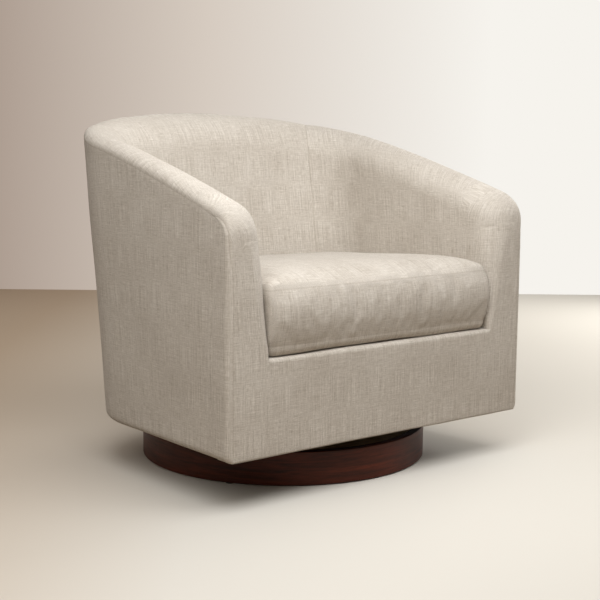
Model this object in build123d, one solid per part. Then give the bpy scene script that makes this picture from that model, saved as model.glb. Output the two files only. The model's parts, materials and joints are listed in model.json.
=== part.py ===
from build123d import *

import os
from math import asin, atan2, cos, degrees, hypot, pi, radians, sin, sqrt, tan

# A swivel barrel chair: a barrel-shaped upholstered seat body that turns on a ball-bearing
# swivel over a round wooden plinth, with a loose boxed seat cushion.
# Millimetres, +Z up. The origin is on the floor, on the swivel axis. The front faces -Y.
# The wall is one set of nested layers, each made by the same outline at another inset:
# cover, padding, outer board, timber frame, foam, inside cover.

# ------------------------------------------------------------------ driving dimensions

# Plinth
PLINTH_RADIUS = 290.0
PLINTH_HEIGHT = 66.0
PLINTH_WALL = 18.0
PLINTH_EDGE_ROUND = 1.5
PLINTH_BOARD = 18.0
PLINTH_BOARD_SET_DOWN = 4.0
PLINTH_HUB_HOLE_RADIUS = 30.0
GLUE_BLOCKS = 6
GLUE_BLOCK = (32.0, 50.0, 30.0)
GLIDES = 6
GLIDE_HEIGHT = 2.0
GLIDE_RADIUS = 8.0
GLIDE_NAIL_RADIUS = 1.2
GLIDE_NAIL_LENGTH = 10.0

# Seat body, outside
UNDERSIDE = 90.0
BODY_FRONT = 310.0
FRONT_HALF_WIDTH = 375.0
REAR_HALF_WIDTH = 361.0
REAR_CORNER_RADIUS = 185.0
BACK_BOW_RADIUS = 620.0
BACK_REACH = 277.0
BACK_LEAN = 8.0
ARM_START = (-250.0, 546.0)
ARM_MIDDLE = (30.0, 622.0)
BACK_TOP = (355.0, 690.0)
ARM_NOSE_RADIUS = 62.0
OUTER_ROLL = 16.0
BOTTOM_ROLL = 12.0

# Seat body, inside
SEAT_OPENING = 562.0
SEAT_CORNER_RADIUS = 130.0
SEAT_BACK_BOW_RADIUS = 700.0
SEAT_BACK_REACH = 185.0
INNER_ROLL = 32.0
DECK_HEIGHT = 266.0

# Covers and seams
COVER = 3.0
SEAM_DROP = 22.0
SEAM_NOSE_RADIUS = 12.0
FRONT_SEAM_INSET = 10.0
INSIDE_SEAM_ANGLE = 50.0
UNDER_WRAP = 45.0
DUST_COVER = 1.1
DUST_COVER_INSET = 12.0

# Layers behind the covers
PADDING = 5.0
FRONT_PADDING = 9.0
OUTER_BOARD = 5.5
TIMBER = 22.0
TOP_ROLL_FOAM = 31.0
RAIL_TOP = 232.0
TOP_RAIL_DEPTH = 45.0
ARM_POST_WIDTH = 62.0
ARM_POST_EDGE_ROUND = 18.0
CORNER_STILE_WIDTH = 46.0
BACK_STILE_WIDTH = 24.0
MOUNTING_BOARD = (300.0, 18.0)
CLEAT = (80.0, 30.0, 30.0)
CLEAT_OFFSET = 105.0
CORNER_BLOCK_LEG = 70.0
CORNER_BLOCK_HEIGHT = 60.0

# Seat springs and deck
SPRING_OFFSETS = (42.0, 126.0, 210.0)
SPRING_WIRE_RADIUS = 1.7
SPRING_RUN = 30.0
SPRING_PITCH = 27.0
CLIP = (16.0, 12.0, 6.5)
CLIP_WIRE_HEIGHT = 3.5

# Swivel
SWIVEL_PLATE = 200.0
SWIVEL_PLATE_THICKNESS = 3.0
SWIVEL_PLATE_CORNER = 12.0
RACE_INNER_RADIUS = 58.0
RACE_OUTER_RADIUS = 82.0
BALL_CIRCLE_RADIUS = 70.0
BALL_RADIUS = 4.0
BALL_COUNT = 24
CAGE_THICKNESS = 2.0
CAGE_RIM = 9.0
PIVOT_RADIUS = 16.0
PIVOT_BORE_RADIUS = 11.0
PIVOT_FLANGE_RADIUS = 21.0
PIVOT_FLANGE = 3.0
BOLT_SPACING = 164.0
BOLT_RADIUS = 4.0
BOLT_HEAD_FLATS = 13.0
BOLT_HEAD = 5.3
NUT = 6.5
BOLT_TAIL = 2.5

# Seat cushion
CUSHION_HALF_WIDTH = 273.5
CUSHION_FRONT = 308.0
CUSHION_FRONT_SET_BACK = 10.0
CUSHION_BACK = 204.0
CUSHION_FRONT_CORNER = 38.0
CUSHION_REAR_CORNER = 120.0
CUSHION_LOW_SEAM = 286.0
CUSHION_TOP_SEAM = 386.0
CUSHION_CROWN = 420.0
CUSHION_CROWN_REACH = 150.0
CUSHION_BULGE = 6.0
CUSHION_UNDER_ROLL = 16.0
CUSHION_SIDE_DRAW = 3.0
CUSHION_COVER = 2.0
ZIP_HALF_LENGTH = 170.0
ZIP_WIDTH = 16.0
ZIP_THICKNESS = 1.0
SLIDER = (9.0, 4.0, 12.0)
SLIDER_TAB = (6.0, 1.2, 14.0)

# Clearances
GAP = 0.3
FIT = 0.05
RUNNING = 0.1
BOLT_CLEARANCE = 0.25
CAGE_CLEARANCE = 0.4
PIVOT_CLEARANCE = 1.0
REACH = 60.0
FAR = 600.0
ON_SURFACE = 0.6

# ------------------------------------------------------------------ worked out from them

BODY_TOP = BACK_TOP[1] + REACH
FRONT_Y = -BODY_FRONT
DECK_FACE = DECK_HEIGHT - COVER
PADDING_INSET = COVER + GAP
BOARD_INSET = PADDING_INSET + PADDING + GAP
FRAME_INSET = BOARD_INSET + OUTER_BOARD + GAP
FOAM_INSET = FRAME_INSET + TIMBER + GAP
FRAME_DROP = PADDING_INSET + TOP_ROLL_FOAM
FRAME_FRONT = PADDING_INSET + FRONT_PADDING + GAP
POST_BACK_Y = FRONT_Y + FRAME_FRONT + TIMBER
FRAME_LOW = UNDERSIDE + COVER + GAP
PADDING_LOW = UNDERSIDE + BOTTOM_ROLL + COVER + GAP
PAD_LOW = RAIL_TOP + CLIP[2] + GAP
STILE_LOW = RAIL_TOP + GAP

OUTER = dict(
    front_half=FRONT_HALF_WIDTH,
    rear_half=REAR_HALF_WIDTH,
    corner=REAR_CORNER_RADIUS,
    bow=BACK_BOW_RADIUS,
    reach=BACK_REACH,
)
INNER = dict(
    front_half=SEAT_OPENING / 2,
    rear_half=SEAT_OPENING / 2,
    corner=SEAT_CORNER_RADIUS,
    bow=SEAT_BACK_BOW_RADIUS,
    reach=SEAT_BACK_REACH,
)


# ------------------------------------------------------------------ small helpers


def mirrored(point):
    """The point on the other side of the chair's middle plane."""
    return (-point[0], point[1])


def on_circle(centre, radius, angle):
    """The point of a circle at an angle in radians."""
    return (centre[0] + radius * cos(angle), centre[1] + radius * sin(angle))


def block(x_low, x_high, y_low, y_high, z_low, z_high):
    """A box between two corners."""
    size = (x_high - x_low, y_high - y_low, z_high - z_low)
    middle = ((x_low + x_high) / 2, (y_low + y_high) / 2, (z_low + z_high) / 2)
    return Pos(*middle) * Box(*size)


def disc(radius, z_low, z_high):
    """A round bar on the swivel axis."""
    return Pos(0, 0, (z_low + z_high) / 2) * Cylinder(radius, z_high - z_low)


def ring(outer_radius, inner_radius, z_low, z_high):
    """A flat ring on the swivel axis."""
    return disc(outer_radius, z_low, z_high) - disc(inner_radius, z_low, z_high)


def slab(z_low, z_high):
    """Everything between two heights."""
    return block(-FAR, FAR, -FAR, FAR, z_low, z_high)


def group(shapes):
    """Separate solids that share one file."""
    return Compound(children=[solid for shape in shapes for solid in shape.solids()])


def save(name, shape):
    """Write one sub-part."""
    export_step(shape, f"parts/{name}.step")


def save_pair(name, right):
    """Write a right-hand piece and its mirror image. Left is the -X side."""
    save(f"{name}_right", right)
    save(f"{name}_left", mirror(right, about=Plane.YZ))


# ------------------------------------------------------------------ the barrel's outlines


def lean_shift(z):
    """How far back the leaning back has moved at a height."""
    return (z - UNDERSIDE) * tan(radians(BACK_LEAN))


def corner_geometry(outline, z):
    """Centres, directions and back line of a D outline at a height, for its +X half."""
    bow, corner = outline["bow"], outline["corner"]
    back_y = outline["reach"] + lean_shift(z)
    corner_x = outline["rear_half"] - corner
    bow_centre = (0.0, back_y - bow)
    centre = (corner_x, bow_centre[1] + sqrt((bow - corner) ** 2 - corner_x**2))
    from_front = (centre[0] - outline["front_half"], centre[1] - FRONT_Y)
    distance = hypot(*from_front)
    heading = atan2(from_front[1], from_front[0]) - asin(corner / distance)
    side_normal = heading - pi / 2
    bow_normal = atan2(centre[1] - bow_centre[1], centre[0])
    return bow_centre, centre, heading, side_normal, bow_normal, back_y


def outline_face(outline, z, inset, front_y):
    """The D outline at a height: straight front and sides, round back corners, bowed back."""
    bow_centre, centre, heading, side_normal, bow_normal, back_y = corner_geometry(outline, z)
    corner = outline["corner"] - inset
    side_end = on_circle(centre, corner, side_normal)
    corner_middle = on_circle(centre, corner, (side_normal + bow_normal) / 2)
    corner_end = on_circle(bow_centre, outline["bow"] - inset, bow_normal)
    run = (side_end[1] - front_y) / sin(heading)
    front = (side_end[0] - run * cos(heading), front_y)
    edges = [
        Line(mirrored(front), front),
        Line(front, side_end),
        ThreePointArc(side_end, corner_middle, corner_end),
        ThreePointArc(corner_end, (0, back_y - inset), mirrored(corner_end)),
        ThreePointArc(mirrored(corner_end), mirrored(corner_middle), mirrored(side_end)),
        Line(mirrored(side_end), mirrored(front)),
    ]
    return Pos(0, 0, z) * Face(Wire(edges))


def column(outline, inset, z_low=UNDERSIDE - REACH, z_high=BODY_TOP, front_y=FRONT_Y - REACH):
    """The leaning D-shaped column inside an outline, carried past the body's front."""
    low = outline_face(outline, z_low, inset, front_y)
    high = outline_face(outline, z_high, inset, front_y)
    return loft([low, high], ruled=True)


def layer(outer_inset, inner_inset):
    """A layer of the wall, between two insets from the outside."""
    return column(OUTER, outer_inset) - column(OUTER, inner_inset)


def depth_inside(outline, point):
    """How far inside an outline a point is, level with it."""
    bow_centre, centre, heading, side_normal, bow_normal, _ = corner_geometry(outline, point.Z)
    x, y = abs(point.X), point.Y
    angle = atan2(y - centre[1], x - centre[0])
    if angle > bow_normal:
        return outline["bow"] - hypot(x - bow_centre[0], y - bow_centre[1])
    if angle > side_normal and x > centre[0]:
        return outline["corner"] - hypot(x - centre[0], y - centre[1])
    side_end = on_circle(centre, outline["corner"], side_normal)
    return (side_end[0] - x) * cos(side_normal) + (side_end[1] - y) * sin(side_normal)


def circle_through(a, b, c):
    """Centre and radius of the circle through three points."""
    d = 2 * (a[0] * (b[1] - c[1]) + b[0] * (c[1] - a[1]) + c[0] * (a[1] - b[1]))
    aa, bb, cc = (p[0] ** 2 + p[1] ** 2 for p in (a, b, c))
    x = (aa * (b[1] - c[1]) + bb * (c[1] - a[1]) + cc * (a[1] - b[1])) / d
    y = (aa * (c[0] - b[0]) + bb * (a[0] - c[0]) + cc * (b[0] - a[0])) / d
    return (x, y), hypot(a[0] - x, a[1] - y)


RIDGE_CENTRE, RIDGE_RADIUS = circle_through(ARM_START, ARM_MIDDLE, BACK_TOP)


def ridge_height(y, drop=0.0):
    """Height of the arms' and back's top line at a distance behind the swivel axis."""
    return RIDGE_CENTRE[1] + sqrt((RIDGE_RADIUS - drop) ** 2 - (y - RIDGE_CENTRE[0]) ** 2)


def below_top(front_inset, drop, nose, z_low=UNDERSIDE - 2 * REACH):
    """Everything below the side view's top line: upright front, round nose, rising arm."""
    front_y = FRONT_Y + front_inset
    radius = RIDGE_RADIUS - drop
    nose_y = front_y + nose
    nose_z = RIDGE_CENTRE[1] + sqrt((radius - nose) ** 2 - (nose_y - RIDGE_CENTRE[0]) ** 2)
    nose_end = atan2(nose_z - RIDGE_CENTRE[1], nose_y - RIDGE_CENTRE[0])
    top_start = on_circle(RIDGE_CENTRE, radius, nose_end)
    back_y = BACK_TOP[0] + 2 * REACH
    middle_y = (top_start[0] + back_y) / 2
    back = (back_y, ridge_height(back_y, drop))
    nose_middle = on_circle((nose_y, nose_z), nose, (pi + nose_end) / 2)
    edges = [
        Line((front_y, z_low), (front_y, nose_z)),
        ThreePointArc((front_y, nose_z), nose_middle, top_start),
        ThreePointArc(top_start, (middle_y, ridge_height(middle_y, drop)), back),
        Line(back, (back_y, z_low)),
        Line((back_y, z_low), (front_y, z_low)),
    ]
    return extrude(Plane.YZ * Face(Wire(edges)), amount=FRONT_HALF_WIDTH + REACH, both=True)


def leaning_prism(points, z_low=UNDERSIDE - REACH, z_high=BODY_TOP):
    """A prism over a plan polygon that leans back with the chair's back."""
    faces = []
    for z in (z_low, z_high):
        moved = [(x, y + lean_shift(z)) for x, y in points]
        faces.append(Pos(0, 0, z) * Face(Wire.make_polygon(moved)))
    return loft(faces, ruled=True)


def seam_line():
    """Start and direction, in plan at the underside, of the seam at an inside back corner."""
    _, centre, _, _, _, _ = corner_geometry(INNER, UNDERSIDE)
    angle = radians(INSIDE_SEAM_ANGLE)
    return centre, (cos(angle), sin(angle))


def back_zone(clearance=0.0):
    """Everything behind the two corner seams, drawn in by a clearance."""
    start, way = seam_line()
    side = (-way[1] * clearance, way[0] * clearance)
    near = (start[0] + side[0], start[1] + side[1])
    far = (near[0] + way[0] * 2 * BODY_FRONT, near[1] + way[1] * 2 * BODY_FRONT)
    return leaning_prism([mirrored(near), near, far, mirrored(far)])


def corner_zone(width):
    """A strip across the wall, centred on the right-hand corner seam."""
    start, way = seam_line()
    side = (way[1] * width / 2, -way[0] * width / 2)
    far = (start[0] + way[0] * 2 * BODY_FRONT, start[1] + way[1] * 2 * BODY_FRONT)
    points = [
        (start[0] + side[0], start[1] + side[1]),
        (far[0] + side[0], far[1] + side[1]),
        (far[0] - side[0], far[1] - side[1]),
        (start[0] - side[0], start[1] - side[1]),
    ]
    return leaning_prism(points)


def on_top_line(point, inset):
    """Whether a point is on the top surface or the front of the wall at an inset."""
    if point.Y < FRONT_Y + ARM_NOSE_RADIUS:
        return True
    return abs(point.Z - ridge_height(point.Y, inset)) < ON_SURFACE


def edges_on(shape, outline, inset, keep):
    """The edges of a shape that follow an outline at an inset and pass a test."""
    found = []
    for edge in shape.edges():
        point = edge @ 0.5
        if abs(depth_inside(outline, point) - inset) < ON_SURFACE and keep(point):
            found.append(edge)
    return found


def wall(inset):
    """The whole padded body at an inset from its surface: walls, deck block, rolled edges."""
    low = UNDERSIDE + inset
    deck = DECK_HEIGHT - inset
    body = column(OUTER, inset, z_low=low) & below_top(inset, inset, ARM_NOSE_RADIUS - inset)
    outside = edges_on(body, OUTER, inset, lambda p: p.Z > low + 1 and on_top_line(p, inset))
    body = fillet(outside, OUTER_ROLL - inset)
    body -= column(INNER, -inset, z_low=deck)
    inside = edges_on(body, INNER, -inset, lambda p: p.Z > deck + 1 and on_top_line(p, inset))
    body = fillet(inside, INNER_ROLL - inset)
    foot = edges_on(body, OUTER, inset, lambda p: p.Z < low + 1)
    return fillet(foot, BOTTOM_ROLL - inset)


# ------------------------------------------------------------------ plinth


def glide_places():
    """Angle of each floor glide, in degrees."""
    return [360 / GLIDES * (i + 0.5) for i in range(GLIDES)]


def at_radius(radius, angle, z, shape):
    """A shape moved out from the swivel axis and turned to face it."""
    return Rot(0, 0, angle) * Pos(radius, 0, z) * shape


PLINTH_INSIDE = PLINTH_RADIUS - PLINTH_WALL
GLIDE_CIRCLE = PLINTH_RADIUS - PLINTH_WALL / 2
BOARD_TOP = PLINTH_HEIGHT - PLINTH_BOARD_SET_DOWN
BOARD_LOW = BOARD_TOP - PLINTH_BOARD


def plinth_ring():
    """The bent ply ring that stands on the glides."""
    shape = ring(PLINTH_RADIUS, PLINTH_INSIDE, GLIDE_HEIGHT, PLINTH_HEIGHT)
    shape = fillet(shape.edges().filter_by(GeomType.CIRCLE), PLINTH_EDGE_ROUND)
    depth = GLIDE_NAIL_LENGTH + GAP
    for angle in glide_places():
        hole = Cylinder(GLIDE_NAIL_RADIUS + FIT, depth)
        shape -= at_radius(GLIDE_CIRCLE, angle, GLIDE_HEIGHT + depth / 2, hole)
    return shape


def plinth_top_board():
    """The round board that carries the swivel, inside the ring."""
    shape = disc(PLINTH_INSIDE - GAP, BOARD_LOW, BOARD_TOP)
    shape -= disc(PLINTH_HUB_HOLE_RADIUS, BOARD_LOW, BOARD_TOP)
    return shape - bolt_holes(BOARD_LOW, BOARD_TOP)


def glue_blocks():
    """Blocks that tie the board to the ring."""
    length, width, height = GLUE_BLOCK
    limit = disc(PLINTH_INSIDE - GAP, BOARD_LOW - height, BOARD_LOW)
    blocks = []
    for i in range(GLUE_BLOCKS):
        angle = 360 / GLUE_BLOCKS * i
        bar = Box(length, width, height)
        blocks.append(at_radius(PLINTH_INSIDE - length / 2, angle, BOARD_LOW - height / 2, bar) & limit)
    return group(blocks)


def floor_glides():
    """Nail-on glides under the ring."""
    glides = []
    for angle in glide_places():
        head = at_radius(GLIDE_CIRCLE, angle, GLIDE_HEIGHT / 2, Cylinder(GLIDE_RADIUS, GLIDE_HEIGHT))
        nail = Cylinder(GLIDE_NAIL_RADIUS, GLIDE_NAIL_LENGTH)
        head += at_radius(GLIDE_CIRCLE, angle, GLIDE_HEIGHT + GLIDE_NAIL_LENGTH / 2, nail)
        glides.append(head)
    return group(glides)


# ------------------------------------------------------------------ swivel

LOWER_PLATE_TOP = BOARD_TOP + SWIVEL_PLATE_THICKNESS
UPPER_PLATE_TOP = FRAME_LOW
UPPER_PLATE_LOW = UPPER_PLATE_TOP - SWIVEL_PLATE_THICKNESS
BALL_HEIGHT = (LOWER_PLATE_TOP + UPPER_PLATE_LOW) / 2
RACE_HALF_GAP = CAGE_THICKNESS / 2 + CAGE_CLEARANCE
MOUNTING_TOP = FRAME_LOW + MOUNTING_BOARD[1]


def bolt_places():
    """The four corners of the bolt square."""
    half = BOLT_SPACING / 2
    return [(x, y) for x in (-half, half) for y in (-half, half)]


def bolt_holes(z_low, z_high):
    """Clearance holes for the four bolts between two heights."""
    bar = disc(BOLT_RADIUS + BOLT_CLEARANCE, z_low, z_high)
    return group([Pos(x, y, 0) * bar for x, y in bolt_places()])


def hexagon(flats, z_low, z_high):
    """A hexagonal bar on the swivel axis."""
    face = RegularPolygon(flats / sqrt(3), 6)
    return Pos(0, 0, z_low) * extrude(face, amount=z_high - z_low)


def bolts(head_low, head_high, shank_low, shank_high):
    """Four hexagon bolts with their heads and shanks between given heights."""
    bolt = hexagon(BOLT_HEAD_FLATS, head_low, head_high) + disc(BOLT_RADIUS, shank_low, shank_high)
    return group([Pos(x, y, 0) * bolt for x, y in bolt_places()])


def nuts(z_low, z_high):
    """Four hexagon nuts."""
    nut = hexagon(BOLT_HEAD_FLATS, z_low, z_high) - disc(BOLT_RADIUS + FIT, z_low, z_high)
    return group([Pos(x, y, 0) * nut for x, y in bolt_places()])


def ball_groove():
    """The round groove that the balls run in."""
    return Pos(0, 0, BALL_HEIGHT) * Torus(BALL_CIRCLE_RADIUS, BALL_RADIUS + FIT)


def swivel_plate(z_low, z_high, race_low, race_high, bore_radius):
    """A square plate with its ball race and pivot bore."""
    middle = (z_low + z_high) / 2
    shape = Pos(0, 0, middle) * Box(SWIVEL_PLATE, SWIVEL_PLATE, z_high - z_low)
    shape = fillet(shape.edges().filter_by(Axis.Z), SWIVEL_PLATE_CORNER)
    shape += ring(RACE_OUTER_RADIUS, RACE_INNER_RADIUS, race_low, race_high)
    shape -= ball_groove()
    shape -= disc(bore_radius, z_low, z_high)
    return shape - bolt_holes(z_low, z_high)


def pivot_rivet():
    """The hollow rivet that holds the two plates together. It turns with the upper plate."""
    low = BOARD_TOP - GAP - PIVOT_FLANGE
    high = UPPER_PLATE_TOP + PIVOT_FLANGE
    shape = disc(PIVOT_RADIUS, low, high)
    shape += disc(PIVOT_FLANGE_RADIUS, low, low + PIVOT_FLANGE)
    shape += disc(PIVOT_FLANGE_RADIUS, UPPER_PLATE_TOP, high)
    return shape - disc(PIVOT_BORE_RADIUS, low, high)


def ball_places():
    """Angle of each ball, in degrees."""
    return [360 / BALL_COUNT * i for i in range(BALL_COUNT)]


def ball_cage():
    """The flat ring that keeps the balls apart."""
    low, high = BALL_HEIGHT - CAGE_THICKNESS / 2, BALL_HEIGHT + CAGE_THICKNESS / 2
    shape = ring(BALL_CIRCLE_RADIUS + CAGE_RIM, BALL_CIRCLE_RADIUS - CAGE_RIM, low, high)
    for angle in ball_places():
        hole = Cylinder(BALL_RADIUS + BOLT_CLEARANCE, CAGE_THICKNESS)
        shape -= at_radius(BALL_CIRCLE_RADIUS, angle, BALL_HEIGHT, hole)
    return shape


def bearing_balls():
    """The balls between the two races."""
    return group(
        [at_radius(BALL_CIRCLE_RADIUS, a, BALL_HEIGHT, Sphere(BALL_RADIUS)) for a in ball_places()]
    )


# ------------------------------------------------------------------ timber frame


def frame_region(drop=0.0):
    """Where the frame may be: below the top foam, behind the front padding, above the wrap."""
    nose = ARM_NOSE_RADIUS - FRAME_DROP
    return below_top(FRAME_FRONT, FRAME_DROP + drop, nose, z_low=FRAME_LOW)


def timber_layer():
    """The layer of the wall that the curved timbers are cut from."""
    return layer(FRAME_INSET, FOAM_INSET - GAP) & frame_region()


def behind_posts():
    """Everything behind the front posts."""
    return block(-FAR, FAR, POST_BACK_Y + GAP, FAR, 0, BODY_TOP)


def right_side():
    """Everything right of the middle plane."""
    return block(0, FAR, -FAR, FAR, 0, BODY_TOP)


def save_frame():
    """Rails, posts, stiles, boards and blocks."""
    timber = timber_layer()
    low_band = slab(FRAME_LOW, RAIL_TOP)
    high_band = slab(STILE_LOW, BODY_TOP) & frame_region(TOP_RAIL_DEPTH + GAP)
    top_band = slab(STILE_LOW, BODY_TOP) - frame_region(TOP_RAIL_DEPTH)
    side = timber & behind_posts() & right_side()
    side -= back_zone(-GAP)
    back = timber & back_zone()
    save_pair("side_rail", side & low_band)
    save_pair("arm_top_rail", side & top_band)
    save("back_rail", back & low_band)
    save("back_top_rail", back & top_band)
    save_pair("corner_stile", timber & corner_zone(CORNER_STILE_WIDTH) & high_band)

    between_springs = (SPRING_OFFSETS[0] + SPRING_OFFSETS[1]) / 2
    stile_low = between_springs - BACK_STILE_WIDTH / 2
    stile = block(stile_low, stile_low + BACK_STILE_WIDTH, 0, FAR, STILE_LOW, BODY_TOP)
    save_pair("back_stile", timber & stile & high_band)

    post_inside = FRONT_HALF_WIDTH - FRAME_INSET - ARM_POST_WIDTH
    post_zone = block(post_inside, FAR, FRONT_Y, POST_BACK_Y, FRAME_LOW, BODY_TOP)
    front_y = FRONT_Y + FRAME_FRONT
    edge_x, edge_y = post_inside + ARM_POST_EDGE_ROUND, front_y + ARM_POST_EDGE_ROUND
    edge = block(0, edge_x, FRONT_Y, edge_y, RAIL_TOP, BODY_TOP)
    edge -= Pos(edge_x, edge_y, 0) * disc(ARM_POST_EDGE_ROUND, RAIL_TOP, BODY_TOP)
    save_pair("arm_post", (column(OUTER, FRAME_INSET) & post_zone & frame_region()) - edge)

    rail_half = post_inside - GAP
    save("front_rail", block(-rail_half, rail_half, front_y, POST_BACK_Y, FRAME_LOW, RAIL_TOP))

    board_half = MOUNTING_BOARD[0] / 2
    inside = column(OUTER, FOAM_INSET)
    board = block(-board_half, board_half, POST_BACK_Y + GAP, FAR, FRAME_LOW, MOUNTING_TOP) & inside
    board -= disc(PIVOT_FLANGE_RADIUS + PIVOT_CLEARANCE, FRAME_LOW, MOUNTING_TOP)
    save("mounting_board", board - bolt_holes(FRAME_LOW, MOUNTING_TOP))

    cleats = []
    low = MOUNTING_TOP + GAP
    length, depth, height = CLEAT
    back_y = BACK_REACH - FOAM_INSET - depth
    for x in (-CLEAT_OFFSET, CLEAT_OFFSET):
        front = POST_BACK_Y + GAP
        cleats.append(block(x - length / 2, x + length / 2, front, front + depth, low, low + height))
        rear = block(x - length / 2, x + length / 2, back_y, FAR, low, low + height)
        cleats.append(rear & inside)
    save("board_cleats", group(cleats))

    corner = (post_inside + GAP, POST_BACK_Y + GAP)
    outside = FRONT_HALF_WIDTH
    points = [
        corner,
        (outside, corner[1]),
        (outside, corner[1] + CORNER_BLOCK_LEG),
        (outside - CORNER_BLOCK_LEG / 2, corner[1] + CORNER_BLOCK_LEG),
    ]
    wedge = extrude(Pos(0, 0, FRAME_LOW) * Face(Wire.make_polygon(points)), CORNER_BLOCK_HEIGHT)
    save_pair("corner_block", wedge & inside)


def save_outer_boards():
    """The thin curved boards that close the outside of the frame."""
    boards = layer(BOARD_INSET, FRAME_INSET - GAP) & frame_region() & slab(PADDING_LOW, BODY_TOP)
    save_pair("arm_board", (boards & right_side()) - back_zone(-GAP))
    save("back_board", boards & back_zone())


# ------------------------------------------------------------------ springs and deck


def rail_middle(x):
    """Where a spring's back end lies on the curved back rail."""
    bow_centre, _, _, _, _, _ = corner_geometry(OUTER, RAIL_TOP)
    radius = BACK_BOW_RADIUS - FRAME_INSET - TIMBER / 2
    return bow_centre[1] + sqrt(radius**2 - x**2)


SPRING_FRONT = FRONT_Y + FRAME_FRONT + TIMBER / 2
SPRING_HEIGHT = RAIL_TOP + CLIP_WIRE_HEIGHT


def sinuous_spring(x):
    """A zigzag wire from the front rail to the back rail: cross runs joined by half turns."""
    length = rail_middle(x) - SPRING_FRONT
    runs = round(length / SPRING_PITCH)
    pitch = length / runs
    half = SPRING_RUN / 2
    edges = []
    for i in range(runs + 1):
        y = SPRING_FRONT + i * pitch
        side = 1 if i % 2 == 0 else -1
        start, end = (x - side * half, y), (x + side * half, y)
        edges.append(Line(start, end))
        if i < runs:
            middle = (x + side * (half + pitch / 2), y + pitch / 2)
            edges.append(ThreePointArc(end, middle, (x + side * half, y + pitch)))
    path = Pos(0, 0, SPRING_HEIGHT) * Wire(edges)
    section = Plane(path @ 0, z_dir=path % 0) * Circle(SPRING_WIRE_RADIUS)
    return sweep(section, path=path)


def spring_clip(x, y):
    """A clip that holds a spring's end run on a rail."""
    length, depth, height = CLIP
    shape = Pos(x, y, RAIL_TOP + height / 2) * Box(length, depth, height)
    wire = Pos(x, y, SPRING_HEIGHT) * Rot(0, 90, 0) * Cylinder(SPRING_WIRE_RADIUS + FIT, length)
    return shape - wire


def save_springs():
    """Seat springs and their clips, in mirrored pairs."""
    springs, clips = [], []
    for x in SPRING_OFFSETS:
        spring = sinuous_spring(x)
        ends = [spring_clip(x, SPRING_FRONT), spring_clip(x, rail_middle(x))]
        for shape, pile in ((spring, springs), (ends[0], clips), (ends[1], clips)):
            pile.append(shape)
            pile.append(mirror(shape, about=Plane.YZ))
    save("seat_springs", group(springs))
    save("spring_clips", group(clips))


def deck_pad():
    """The foam over the springs, under the deck cloth."""
    pad = column(INNER, -COVER, z_low=PAD_LOW, z_high=DECK_FACE - GAP)
    return pad & block(-FAR, FAR, FRONT_Y + COVER + GAP, FAR, 0, BODY_TOP)


# ------------------------------------------------------------------ upholstery


def save_pads():
    """Inside foam of the arms and back, with the roll over the top of the frame."""
    foam = wall(PADDING_INSET) & slab(PAD_LOW, BODY_TOP)
    nose = ARM_NOSE_RADIUS - FRAME_DROP + GAP
    hollow = below_top(FRAME_FRONT - GAP, FRAME_DROP - GAP, nose)
    foam -= layer(-REACH, FOAM_INSET) & hollow
    post_inside = FRONT_HALF_WIDTH - FRAME_INSET - ARM_POST_WIDTH - GAP
    for x_low, x_high in ((post_inside, FAR), (-FAR, -post_inside)):
        foam -= block(x_low, x_high, -FAR, POST_BACK_Y + GAP, 0, BODY_TOP) & hollow
    foam -= column(INNER, -COVER - GAP) & slab(0, DECK_FACE)
    arm = (foam & right_side()) - back_zone(-GAP)
    save_pair("arm_pad", arm)
    save("back_pad", foam & back_zone())


def save_outer_padding():
    """Thin padding between the outer boards and the outer covers."""
    padding = layer(PADDING_INSET, PADDING_INSET + PADDING) & frame_region()
    padding &= block(-FAR, FAR, FRONT_Y + OUTER_ROLL + GAP, FAR, PADDING_LOW, BODY_TOP)
    save_pair("arm_outer_padding", (padding & right_side()) - back_zone(-GAP))
    save("back_outer_padding", padding & back_zone())
    half = FRONT_HALF_WIDTH - FRAME_INSET
    front_y = FRONT_Y + PADDING_INSET
    back_y = front_y + FRONT_PADDING
    save("front_padding", block(-half, half, front_y, back_y, PADDING_LOW, RAIL_TOP))


def save_covers():
    """The fabric skin of the body, cut along its seams."""
    skin = wall(0.0) - wall(COVER)
    low, high = 0, UNDERSIDE + COVER + GAP
    skin -= column(OUTER, UNDER_WRAP) & block(-FAR, FAR, FRONT_Y + UNDER_WRAP, FAR, low, high)
    seam_half = FRONT_HALF_WIDTH - FRONT_SEAM_INSET
    front_box = block(-seam_half, seam_half, -FAR, FRONT_Y + UNDER_WRAP, 0, DECK_FACE)
    front_box -= layer(-REACH, COVER) & block(-FAR, FAR, FRONT_Y + COVER, FAR, 0, BODY_TOP)
    save("front_border", skin & front_box)
    skin -= front_box

    deck_half = SEAT_OPENING / 2 + COVER
    deck_box = block(-deck_half, deck_half, -FAR, FAR, DECK_FACE, DECK_HEIGHT)
    deck_zone = deck_box & column(INNER, -COVER)
    save("deck_cover", skin & deck_zone)
    skin -= deck_zone

    outside = layer(-REACH, FRONT_SEAM_INSET) & below_top(-REACH, SEAM_DROP, SEAM_NOSE_RADIUS)
    under = slab(0, UNDERSIDE + COVER + BOTTOM_ROLL)
    outer = skin & (outside + under)
    inner = skin - (outside + under)
    save_pair("outer_cover", (outer & right_side()) - back_zone())
    save("outer_cover_back", outer & back_zone())
    save_pair("inside_arm_cover", (inner & right_side()) - back_zone())
    save("inside_back_cover", inner & back_zone())


def dust_cover():
    """The thin cloth under the body, with an opening for the swivel plate."""
    high = UNDERSIDE - FIT
    low = high - DUST_COVER
    shape = column(OUTER, DUST_COVER_INSET, low, high)
    shape &= block(-FAR, FAR, FRONT_Y + DUST_COVER_INSET, FAR, low, high)
    hole = SWIVEL_PLATE + 2 * DUST_COVER_INSET
    return shape - Pos(0, 0, (low + high) / 2) * Box(hole, hole, 2 * DUST_COVER)


# ------------------------------------------------------------------ seat cushion

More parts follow.
